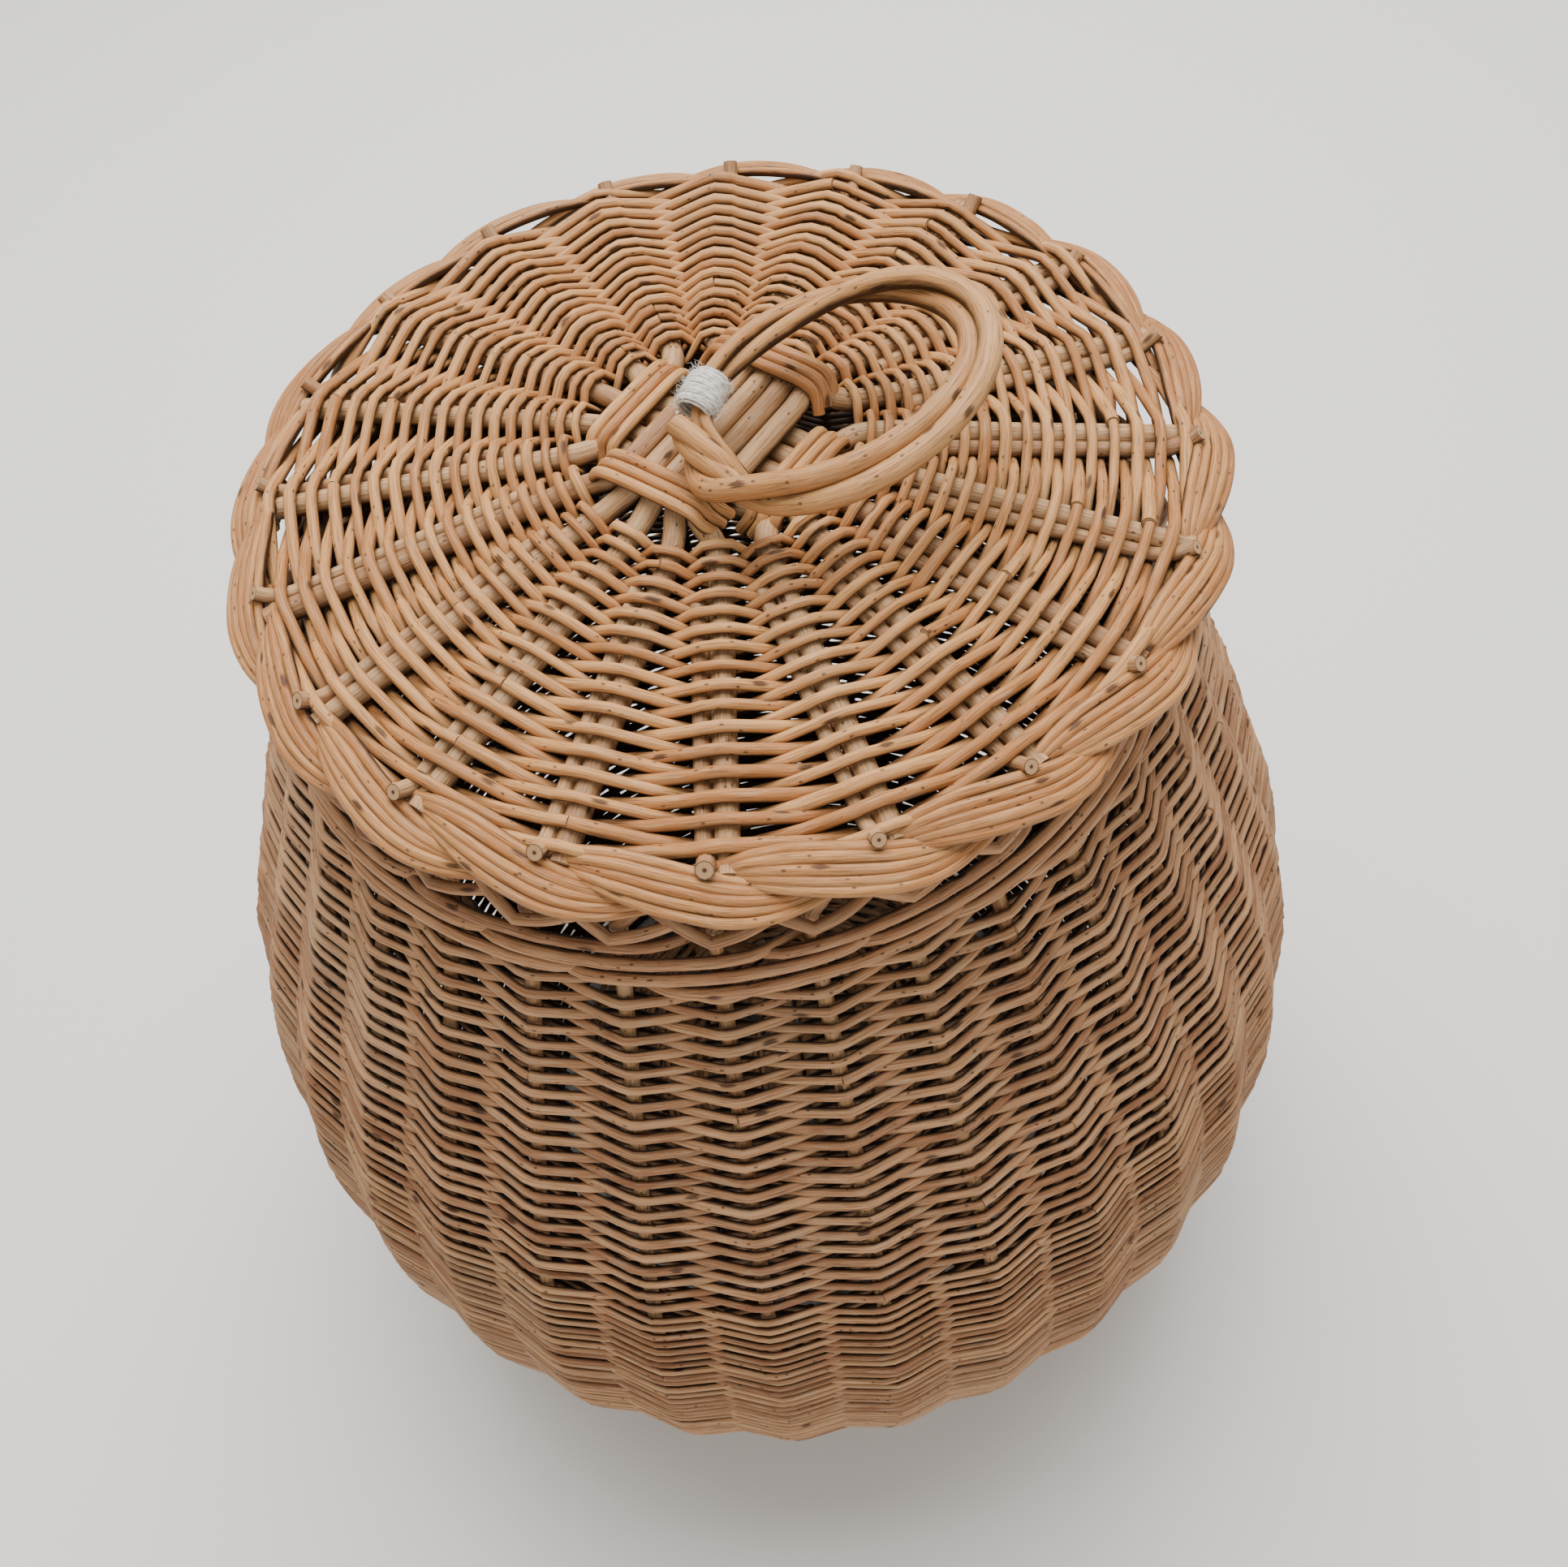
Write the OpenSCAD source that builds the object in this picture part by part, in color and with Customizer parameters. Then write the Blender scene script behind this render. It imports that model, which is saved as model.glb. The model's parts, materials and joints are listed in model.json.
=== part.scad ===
// Round willow laundry hamper with a loose woven lid and a ring handle.
// +Z is up and the origin is on the floor, under the middle of the foot.

/* [Basket body] */
// Outer radius where the side leaves the floor
foot_r = 163; // [155:1:170]
// Outer radius at the belly, the widest height
belly_r = 265; // [255:1:275]
// Height of the widest point above the floor
belly_z = 198; // [185:1:215]
// Radius of the curve from the belly to the shoulder
shoulder_curve_r = 450; // [430:1:480]
// Lean of the straight shoulder from the vertical, in degrees
shoulder_lean = 23; // [20:1:26]
// Height of the top of the side weave
siding_top_z = 486; // [470:1:500]
// Height at which the finer lower weave ends
siding_change_z = 322; // [280:1:350]
// Thickness of the woven side
wall_t = 16; // [14:0.5:18]

/* [Side stakes and base] */
// Number of side stakes, two to each base spoke
stake_count = 32; // [24:4:36]
// Diameter of a side stake
stake_d = 6.4; // [5:0.1:7]
// Sticks in each layer of the base cross
base_cross_sticks = 4; // [3:1:4]
// Diameter of a base stick
base_stick_d = 8.6; // [7:0.1:9]

/* [Rim] */
// Height of the band of waling under the border
wale_h = 18; // [14:1:22]
// Half the height of the turned-down border
border_r = 13.6; // [11:0.1:14]

/* [Lid] */
// Outer radius of the lid
lid_r = 190; // [186:1:196]
// Thickness of the plaited lid border
lid_border_t = 25; // [22:0.5:27]
// How far the loose lid sits to the right of the basket's centre
lid_shift_x = 7.5; // [0:0.5:9]
// How far the loose lid sits back from the basket's centre
lid_shift_y = 6.5; // [0:0.5:9]
// Rise of the lid's middle above its border
lid_rise = 18; // [14:1:22]
// Sticks in each layer of the lid cross
lid_cross_sticks = 5; // [4:1:5]
// Diameter of a lid stick
lid_stick_d = 8.6; // [7:0.1:9]
// Diameter of the thinner liner beside each spoke
liner_d = 5.6; // [4:0.1:6]
// Turn of the upper lid sticks about the vertical, in degrees
lid_cross_turn = 49; // [0:1:90]

/* [Handle] */
// Length of the ring handle between rod centres
ring_l = 103; // [92:1:112]
// Width of the ring handle between rod centres
ring_w = 82; // [72:1:90]
// Diameter of each of its two twisted rods
ring_rod_d = 8; // [7:0.1:8.4]
// Full turns that each rod makes round the other
ring_twists = 2; // [1:1:4]
// Rest angle of the ring above the lid, in degrees
ring_rest = 15; // [12:1:40]
// Direction that the ring leans in, in degrees from +X
ring_azimuth = 10; // [-20:1:40]
// Length of the twine binding
twine_l = 20; // [14:1:26]

/* [Hidden] */
$fn = 128;

// Working gap between separate rods and woven bands
gap = 0.3;
// Clearance round a rod in the hole that it threads
play = 0.2;
// How much wider than a stake the round joint between two of its curves is
joint_swell = 0.3;

buff = "#B98A60";
pale_buff = "#C8996B";
brown_buff = "#9A7250";
cream = "#DAD6CB";

// The side's outline: a lower arc, an upper arc and a straight shoulder
low_arc_r = (pow(belly_z, 2) + pow(belly_r - foot_r, 2)) / (2 * (belly_r - foot_r));
low_arc_x = belly_r - low_arc_r;
high_arc_x = belly_r - shoulder_curve_r;
shoulder_z = belly_z + shoulder_curve_r * sin(shoulder_lean);
shoulder_x = high_arc_x + shoulder_curve_r * cos(shoulder_lean);
// Outer radius of the straight shoulder at height z
function shoulder_at(z) = shoulder_x - (z - shoulder_z) * tan(shoulder_lean);
// Distance of the stakes' middle from the side's outer surface
stake_in = wall_t / 2;
// Thickness of the rods on each face of the stakes
rod_layer_t = (wall_t - stake_d) / 2 - play;
stake_foot_z = 5;
stake_foot_turn = asin((stake_foot_z - belly_z) / (low_arc_r - stake_in));

// Foot and base
foot_h = 16;
base_r = 146.5;
base_z = 16;
base_weave_t = 15;
base_pitch = 10.4;
// Ends of the straight cross, and the radius where its spokes are level
base_cross_half = 34;
base_fan_r = 54;
base_weave_from = 57;

base_end_r = base_r - 4;
base_binding_d = 4;

// Rim heights
wale_top_z = siding_top_z + wale_h;
border_z = wale_top_z + border_r;
border_mid_r = shoulder_at(border_z);
rim_z = border_z + border_r;
stake_top_z = border_z + 3;

// Lid levels
lid_border_r = lid_border_t / 2;
lid_border_mid = lid_r - lid_border_r;
lid_z = rim_z + gap + lid_border_r;
lid_cross_z = lid_z + lid_rise;
lid_cross_half = 44;
lid_pitch = 11;
lid_cone_r = 62;
lid_weave_from = 67;
lid_end_r = lid_border_mid - 4;
lid_weave_t = 17;
lid_weave_split = 102;
lid_weave_out = lid_border_mid - lid_border_r - gap;
binding_d = 5;
// Height of the spokes' middle at radius r
function lid_cone_z(r) = lid_z + 1 + (lid_end_r - r) * (lid_rise - 4) / (lid_end_r - lid_cone_r);

// Handle: the ring turns about the near end of its loop, held this far above the cross
ring_lift = 15;
pivot = [lid_shift_x - 4.5, lid_shift_y - 28, lid_cross_z + lid_stick_d + ring_lift];
ring_step = 6;
ring_offset = ring_rod_d / 2 + 0.25;
ring_start = 16;

// A straight rod between two points
module rod(a, b, d) {
    run = b - a;
    turn = atan2(run[1], run[0]);
    tilt = atan2(norm([run[0], run[1]]), run[2]);
    translate(a) rotate([0, tilt, turn]) cylinder(d = d, h = norm(run));
}

function unit(v) = v / norm(v);
// Direction of a path at point i, between the runs on either side of it
function path_dir(path, i) =
    i == 0 ? unit(path[1] - path[0])
    : i == len(path) - 1 ? unit(path[i] - path[i - 1])
    : unit(unit(path[i] - path[i - 1]) + unit(path[i + 1] - path[i]));

// A bent rod swept along a path that is nowhere upright, closed at both ends
module bent_rod(path, d) {
    sides = 12;
    n = len(path);
    rings = [for (i = [0 : n - 1])
        let (w = path_dir(path, i), u = unit(cross([0, 0, 1], w)), q = cross(w, u))
        for (k = [0 : sides - 1])
            path[i] + d / 2 * (cos(k * 360 / sides) * u + sin(k * 360 / sides) * q)];
    faces = [
        [for (k = [0 : sides - 1]) k],
        [for (k = [sides - 1 : -1 : 0]) (n - 1) * sides + k],
        for (i = [0 : n - 2], k = [0 : sides - 1]) let (m = (k + 1) % sides)
            [i * sides + k, (i + 1) * sides + k, (i + 1) * sides + m, i * sides + m]];
    polyhedron(points = rings, faces = faces, convexity = 6);
}

// Where stick i of a cross leaves the cross, before its fan of spokes
function cross_side(i, n, pitch) = (i - (n - 1) / 2) * pitch;
// Angle of that stick's spoke from the cross's own direction
function fan_angle(i, n) = (i - (n - 1) / 2) * 90 / n;

// One end of a cross stick: out of the cross, down to the cone, then a spoke
function stick_end(i, n, pitch, z, half, cone_r, end_r, cone_z, end_z) =
    let (a = fan_angle(i, n)) [
        [half, cross_side(i, n, pitch), z],
        [cone_r * cos(a), cone_r * sin(a), cone_z],
        [end_r * cos(a), end_r * sin(a), end_z]];
function half_turn(p) = [-p[0], -p[1], p[2]];

// All sticks of one layer of a cross, each a whole stick bent at both ends
module stick_layer(turn, n, pitch, z, half, cone_r, end_r, cone_z, end_z, d) {
    rotate([0, 0, turn]) for (i = [0 : n - 1]) {
        near = stick_end(i, n, pitch, z, half, cone_r, end_r, cone_z, end_z);
        far = stick_end(n - 1 - i, n, pitch, z, half, cone_r, end_r, cone_z, end_z);
        bent_rod([half_turn(far[2]), half_turn(far[1]), half_turn(far[0]),
                  near[0], near[1], near[2]], d);
    }
}

// Straight spoke stretches only, used to thread the woven rings
module spoke_rods(turn, count, from_r, from_z, to_r, to_z, d, side = 0) {
    rotate([0, 0, turn]) for (i = [0 : count - 1]) rotate([0, 0, i * 360 / count])
        rod([from_r, side, from_z], [to_r, side, to_z], d);
}

// Outline of the side between two heights, from depth in_t to depth out_t
module side_outline(z0, z1, out_t, in_t) {
    intersection() {
        translate([0, z0]) square([belly_r + 20, z1 - z0]);
        union() {
            if (z0 < belly_z) intersection() {
                translate([0, -1]) square([belly_r + 20, belly_z + 1]);
                translate([low_arc_x, belly_z]) difference() {
                    circle(r = low_arc_r - out_t, $fn = 256);
                    circle(r = low_arc_r - in_t, $fn = 256);
                }
            }
            if (z0 < shoulder_z && z1 > belly_z) intersection() {
                translate([0, belly_z]) square([belly_r + 20, shoulder_z - belly_z]);
                translate([high_arc_x, belly_z]) difference() {
                    circle(r = shoulder_curve_r - out_t, $fn = 512);
                    circle(r = shoulder_curve_r - in_t, $fn = 512);
                    polygon([[0, 0], [600 * cos(shoulder_lean), 600 * sin(shoulder_lean)],
                             [0, 600]]);
                }
            }
            if (z1 > shoulder_z) translate([high_arc_x, belly_z]) rotate(shoulder_lean)
                translate([shoulder_curve_r - in_t, 0]) square([in_t - out_t, 260]);
        }
    }
}

// One stake's stretches: along the lower arc, the upper arc and the shoulder
module stake_low(d) {
    rotate([90, 0, 0]) translate([low_arc_x, belly_z, 0]) rotate([0, 0, stake_foot_turn])
        rotate_extrude(angle = -stake_foot_turn) translate([low_arc_r - stake_in, 0]) circle(d = d);
}
module stake_high(d) {
    rotate([90, 0, 0]) translate([high_arc_x, belly_z, 0])
        rotate_extrude(angle = shoulder_lean)
            translate([shoulder_curve_r - stake_in, 0]) circle(d = d);
}
module stake_top(d) {
    run = (stake_top_z - shoulder_z) / cos(shoulder_lean);
    translate([shoulder_x - stake_in * cos(shoulder_lean), 0,
               shoulder_z - stake_in * sin(shoulder_lean)])
        rotate([0, -shoulder_lean, 0]) cylinder(d = d, h = run);
}
module stake(d) {
    stake_low(d);
    stake_high(d);
    stake_top(d);
    translate([belly_r - stake_in, 0, belly_z]) sphere(d = d + joint_swell);
    translate([shoulder_x - stake_in * cos(shoulder_lean), 0,
               shoulder_z - stake_in * sin(shoulder_lean)]) sphere(d = d + joint_swell);
}
module each_stake() {
    for (i = [0 : stake_count - 1]) rotate([0, 0, (i + 0.5) * 360 / stake_count]) children();
}

module base_layer(turn, z) {
    stick_layer(turn, base_cross_sticks, base_pitch, z, base_cross_half, base_fan_r, base_end_r,
                base_z, base_z, base_stick_d);
}
module base_sticks_under() {
    color(brown_buff) base_layer(0, base_z - base_stick_d / 2 - play / 2);
}
module base_sticks_over() {
    color(brown_buff) base_layer(90, base_z + base_stick_d / 2 + play / 2);
}

// Two rods across each side of the cross, under the sticks that they tie
module base_binding() {
    reach = base_cross_sticks * base_pitch / 2;
    color(buff) for (i = [0 : 3]) rotate([0, 0, i * 90]) for (row = [0, 1]) {
        top = i % 2 == 0 ? base_z - play / 2 : base_z + base_stick_d + play / 2;
        translate([base_cross_half - 6 - row * (base_binding_d + gap), -reach,
                   top + base_binding_d / 2 + gap])
            rotate([-90, 0, 0]) cylinder(d = base_binding_d, h = 2 * reach);
    }
}

module base_weave() {
    color(buff) difference() {
        translate([0, 0, base_z - base_weave_t / 2]) difference() {
            cylinder(r = base_r, h = base_weave_t);
            translate([0, 0, -1]) cylinder(r = base_weave_from, h = base_weave_t + 2);
        }
        spoke_rods(45 / base_cross_sticks, 4 * base_cross_sticks, base_fan_r - 10, base_z,
                   base_end_r + play, base_z, base_stick_d + 2 * play);
    }
}

// Ring that the basket stands on, round the base and the stakes' lower ends
module foot_wale() {
    color(brown_buff) difference() {
        rotate_extrude() union() {
            side_outline(0, foot_h - play, 0, wall_t);
            translate([base_r + gap, 0]) square([foot_r - base_r - 4, foot_h - play]);
        }
        each_stake() stake_low(stake_d + 2 * play);
    }
}

module side_stakes() {
    color(brown_buff) each_stake() stake(stake_d);
}

// The rods outside the stakes and the rods inside them are two skins
module outer_skin(z0, z1) {
    rotate_extrude() side_outline(z0, z1, 0, rod_layer_t);
}
module inner_skin(z0, z1) {
    rotate_extrude() side_outline(z0, z1, wall_t - rod_layer_t, wall_t);
}

// Woven side below the change of rods
module lower_siding_outer() {
    color(brown_buff) outer_skin(foot_h, siding_change_z - play);
}
module lower_siding_inner() {
    color(brown_buff) inner_skin(foot_h, siding_change_z - play);
}

// Woven side above the change of rods
module upper_siding() {
    color(brown_buff) {
        outer_skin(siding_change_z, siding_top_z - play);
        inner_skin(siding_change_z, siding_top_z - play);
    }
}

// Four smooth rounds of waling, each a bead on the band
module top_wale() {
    rows = 4;
    color(buff) difference() {
        rotate_extrude() union() {
            side_outline(siding_top_z, wale_top_z - play, 0, wall_t);
            for (row = [0 : rows - 1]) {
                z = siding_top_z + (row + 0.5) * (wale_h - play) / rows;
                translate([shoulder_at(z), z]) circle(d = (wale_h - play) / rows - 0.1);
            }
        }
        each_stake() stake_top(stake_d + 2 * play);
    }
}

// Border made of the stakes' own ends, turned down outside
module rim_border() {
    color(buff) difference() {
        rotate_extrude() translate([border_mid_r, border_z]) circle(r = border_r);
        each_stake() stake_top(stake_d + 2 * play);
    }
}

module on_lid() {
    translate([lid_shift_x, lid_shift_y, 0]) children();
}
module lid_layer(turn, z) {
    on_lid() stick_layer(turn, lid_cross_sticks, lid_pitch, z, lid_cross_half, lid_cone_r,
                         lid_end_r, lid_cone_z(lid_cone_r), lid_cone_z(lid_end_r), lid_stick_d);
}
module lid_sticks_under() {
    color(pale_buff) lid_layer(lid_cross_turn + 90, lid_cross_z - lid_stick_d / 2 - play / 2);
}
module lid_sticks_over() {
    color(pale_buff) lid_layer(lid_cross_turn, lid_cross_z + lid_stick_d / 2 + play / 2);
}

// One liner beside each spoke, from the middle of the weave into the border
liner_side = -(lid_stick_d + liner_d) / 2 - 0.1;
liner_from = 76;
liner_end = lid_end_r - 2;
lid_spokes = 4 * lid_cross_sticks;
lid_spoke_turn = lid_cross_turn + (lid_cross_sticks % 2 == 0 ? 45 / lid_cross_sticks : 0);
module liner_rods(from_r, to_r, d) {
    spoke_rods(lid_spoke_turn, lid_spokes, from_r, lid_cone_z(from_r), to_r, lid_cone_z(to_r), d,
               liner_side);
}
module lid_liners() {
    color(pale_buff) on_lid() liner_rods(liner_from, liner_end, liner_d);
}

// Two rods laid over each side of the cross
module lid_binding() {
    reach = lid_cross_sticks * lid_pitch / 2;
    color(pale_buff) on_lid() rotate([0, 0, lid_cross_turn])
        for (i = [0 : 3]) rotate([0, 0, i * 90]) for (row = [0, 1]) {
            top = i % 2 == 0 ? lid_cross_z + lid_stick_d + play / 2 : lid_cross_z - play / 2;
            translate([reach + 4 + row * (binding_d + gap), -reach, top + binding_d / 2 + gap])
                rotate([-90, 0, 0]) cylinder(d = binding_d, h = 2 * reach);
        }
}

// Rings of weave, threaded by the spokes and liners
module lid_weave_ring(from_r, to_r) {
    half = lid_weave_t / 2;
    difference() {
        rotate_extrude() polygon([
            [from_r, lid_cone_z(from_r) - half], [to_r, lid_cone_z(to_r) - half],
            [to_r, lid_cone_z(to_r) + half], [from_r, lid_cone_z(from_r) + half]]);
        spoke_rods(lid_spoke_turn, lid_spokes, lid_cone_r - 8, lid_cone_z(lid_cone_r - 8),
                   lid_end_r + 1, lid_cone_z(lid_end_r + 1), lid_stick_d + 2 * play);
        liner_rods(liner_from - 0.5, liner_end + 1, liner_d + 2 * play);
    }
}
module lid_weave_inner() {
    color(pale_buff) on_lid() lid_weave_ring(lid_weave_from, lid_weave_split - gap);
}
module lid_weave_outer() {
    color(pale_buff) on_lid() lid_weave_ring(lid_weave_split, lid_weave_out);
}

// Plaited border round the lid
module lid_border() {
    color(pale_buff) on_lid() difference() {
        rotate_extrude() translate([lid_border_mid, lid_z]) circle(r = lid_border_r);
        spoke_rods(lid_spoke_turn, lid_spokes, lid_cone_r, lid_cone_z(lid_cone_r),
                   lid_end_r + play, lid_cone_z(lid_end_r + play), lid_stick_d + 2 * play);
        liner_rods(liner_from, liner_end + play, liner_d + 2 * play);
    }
}

// Middle line of the ring, an oval that starts and ends at the pivot
function ring_point(t) = [ring_l / 2 * (1 - cos(t)), -ring_w / 2 * sin(t), 0];
function ring_tangent(t) = unit([ring_l / 2 * sin(t), -ring_w / 2 * cos(t), 0]);
function ring_side(t) = let (v = ring_tangent(t)) [v[1], -v[0], 0];
// Middle of one twisted rod: phase 0 or 180 round the ring's own line
function rod_point(t, phase) =
    let (a = phase + ring_twists * t)
    ring_point(t) + ring_offset * (cos(a) * ring_side(t) + sin(a) * [0, 0, 1]);

module ring_rod(phase) {
    bent_rod([for (t = [ring_start : ring_step : 360 - ring_start]) rod_point(t, phase)],
             ring_rod_d);
}

module on_pivot() {
    translate(pivot) rotate([0, 0, ring_azimuth]) rotate([0, -ring_rest, 0]) children();
}
module handle_rod_a() {
    color(pale_buff) on_pivot() ring_rod(0);
}
module handle_rod_b() {
    color(pale_buff) on_pivot() ring_rod(180);
}

// Collar of twine round both rods, on the far side of the loop near the pivot
module handle_twine() {
    t = 360 - ring_start - 16;
    inner_r = ring_rod_d + ring_offset - ring_rod_d / 2 + 0.5;
    v = ring_tangent(t);
    color(cream) on_pivot() translate(ring_point(t)) rotate([0, 0, atan2(v[1], v[0])])
        rotate([0, 90, 0]) difference() {
            cylinder(r = inner_r + 1.4, h = twine_l, center = true);
            cylinder(r = inner_r, h = twine_l + 2, center = true);
        }
}

base_sticks_under();
base_sticks_over();
base_binding();
base_weave();
foot_wale();
side_stakes();
lower_siding_outer();
lower_siding_inner();
upper_siding();
top_wale();
rim_border();
lid_sticks_under();
lid_sticks_over();
lid_liners();
lid_binding();
lid_weave_inner();
lid_weave_outer();
lid_border();
handle_rod_a();
handle_rod_b();
handle_twine();
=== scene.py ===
"""A round willow laundry hamper: woven body, loose woven lid and a ring handle."""

import json
import math

import bpy
import numpy as np
from bpy.props import FloatProperty, IntProperty, PointerProperty, StringProperty
from mathutils import Matrix, Vector


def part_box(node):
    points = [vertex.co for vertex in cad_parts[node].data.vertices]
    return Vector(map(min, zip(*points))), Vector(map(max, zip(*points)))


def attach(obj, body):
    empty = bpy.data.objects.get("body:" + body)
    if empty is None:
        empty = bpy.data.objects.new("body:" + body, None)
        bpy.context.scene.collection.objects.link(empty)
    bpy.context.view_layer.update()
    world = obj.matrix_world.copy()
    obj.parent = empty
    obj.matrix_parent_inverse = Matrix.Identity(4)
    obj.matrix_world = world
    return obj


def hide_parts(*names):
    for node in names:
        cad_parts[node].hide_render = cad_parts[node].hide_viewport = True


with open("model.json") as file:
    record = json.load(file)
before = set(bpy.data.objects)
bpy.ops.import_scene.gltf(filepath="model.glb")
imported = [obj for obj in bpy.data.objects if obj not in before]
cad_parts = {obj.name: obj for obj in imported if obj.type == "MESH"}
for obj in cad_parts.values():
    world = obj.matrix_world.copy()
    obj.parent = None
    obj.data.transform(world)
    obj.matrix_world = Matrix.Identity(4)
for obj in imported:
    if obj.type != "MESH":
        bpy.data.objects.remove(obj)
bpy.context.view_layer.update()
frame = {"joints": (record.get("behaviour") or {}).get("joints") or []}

bl_info = {
    "name": "Willow Laundry Hamper",
    "version": (1, 0, 0),
    "blender": (4, 5, 0),
    "location": "3D View > Sidebar > Hamper",
    "description": "Weaves a willow laundry hamper with a lid round its fixed frame",
    "category": "Add Mesh",
}

MM = 0.001
TURN = 2.0 * math.pi
QUARTER = math.pi / 2
UPRIGHT = np.array([0.0, 0.0, 1.0])


# ---------------------------------------------------------------- the frame's dimensions

def node_box(node):
    """Lowest and highest corners of a frame node, as arrays."""
    low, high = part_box(node)
    return np.array(low), np.array(high)


LID_LOW, LID_HIGH = node_box("lid_border")
LID_CENTRE = (LID_LOW + LID_HIGH) / 2
LID_R = (LID_HIGH[0] - LID_LOW[0]) / 2
FOOT_TOP = node_box("foot_wale")[1][2]
LOWER_SIDE_HIGH = node_box("lower_siding_outer")[1]
BELLY_R, CHANGE_Z = LOWER_SIDE_HIGH[0], LOWER_SIDE_HIGH[2]
SIDING_TOP = node_box("upper_siding")[1][2]
WALE_TOP = node_box("top_wale")[1][2]
RIM_TOP = node_box("rim_border")[1][2]
BASE_LOW, BASE_HIGH = node_box("base_weave")
BASE_R = BASE_HIGH[0]
BASE_Z = (BASE_LOW[2] + BASE_HIGH[2]) / 2
PIVOT = np.array(next(j for j in frame["joints"] if j["name"] == "handle_swing")["pos_m"])
# middle of the lowest rods of the foot
FOOT_Z = 6 * MM
# the lid spokes' middle: the cross's height above the border, and a radius and height at
# either end of the straight run
LID_CROSS_Z = LID_CENTRE[2] + 18 * MM
SPOKE_TOP = (62 * MM, LID_CENTRE[2] + 15 * MM)
SPOKE_FOOT = (LID_R - 16.5 * MM, LID_CENTRE[2] + 1 * MM)


# ---------------------------------------------------------------- sizes and colours

def length(name, description, default):
    """A size in metres."""
    return FloatProperty(name=name, description=description, default=default, unit="LENGTH",
                         precision=4, min=0.0)


def colour_code(name, description, default):
    """A colour as an sRGB hex code."""
    return StringProperty(name=name, description=description, default=default)


class HamperBodySizes(bpy.types.PropertyGroup):
    """Sizes of the woven body"""
    stakes: IntProperty(name="Stakes", description="Upright side stakes", default=32, min=8)
    stake_d: length("Stake", "Diameter of a side stake", 6.4 * MM)
    wall: length("Wall", "Thickness of the woven side", 16 * MM)
    foot_r: length("Foot radius", "Outer radius at the floor", 163 * MM)
    belly_z: length("Belly height", "Height of the widest point", 198 * MM)
    shoulder_curve_r: length("Shoulder curve", "Radius of the curve above the belly", 450 * MM)
    shoulder_lean: FloatProperty(name="Shoulder lean", description="Lean of the straight shoulder",
                                 default=math.radians(23), subtype="ANGLE")
    upper_rod_d: length("Upper rods", "Diameter of the rods above the change", 3.8 * MM)
    upper_pitch: length("Upper row pitch", "Rise of each row above the change", 4.15 * MM)
    lower_rod_d: length("Lower rods", "Diameter of the rods below the change", 3.45 * MM)
    lower_pitch: length("Lower row pitch", "Rise of each row below the change", 3.3 * MM)
    wale_rod_d: length("Waling rods", "Diameter of the rods under the border", 4.7 * MM)
    foot_rod_d: length("Foot rods", "Diameter of the rods of the foot ring", 4.6 * MM)
    border_rod_d: length("Border rods", "Diameter of the turned-down stake ends", 4.9 * MM)


class LidSizes(bpy.types.PropertyGroup):
    """Sizes of the woven lid"""
    cross_sticks: IntProperty(name="Cross sticks", description="Sticks in each layer", default=5,
                              min=3)
    stick_d: length("Stick", "Diameter of a lid stick", 8.6 * MM)
    liner_d: length("Liner", "Diameter of the thinner rod beside each spoke", 6.0 * MM)
    stick_pitch: length("Stick pitch", "Spacing of the sticks in the cross", 9.2 * MM)
    cross_turn: FloatProperty(name="Cross turn", description="Direction of the upper sticks",
                              default=math.radians(49), subtype="ANGLE")
    inner_rod_d: length("Inner rods", "Diameter of the rods near the middle", 3.6 * MM)
    outer_rod_d: length("Outer rods", "Diameter of the rods near the border", 4.7 * MM)
    inner_pitch: length("Inner row pitch", "Spacing of the rows near the middle", 3.15 * MM)
    outer_pitch: length("Outer row pitch", "Spacing of the rows near the border", 4.5 * MM)
    plait_rod_d: length("Plait rods", "Diameter of the rods in the border", 4.35 * MM)
    plait_rods: IntProperty(name="Rods to a strand", description="Rods side by side", default=5,
                            min=2)


class HandleSizes(bpy.types.PropertyGroup):
    """Sizes of the ring handle"""
    ring_l: length("Length", "Length of the ring between rod centres", 104.5 * MM)
    ring_w: length("Width", "Width of the ring between rod centres", 80.5 * MM)
    rod_d: length("Rod", "Diameter of each twisted rod", 8.3 * MM)
    lean: FloatProperty(name="Lean", description="Rest angle above the lid",
                        default=math.radians(15), subtype="ANGLE")
    azimuth: FloatProperty(name="Azimuth", description="Direction that the ring leans in",
                           default=math.radians(10), subtype="ANGLE")
    twine_d: length("Twine", "Diameter of the binding twine", 1.15 * MM)
    twine_l: length("Binding", "Length of the twine binding", 16 * MM)


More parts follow.
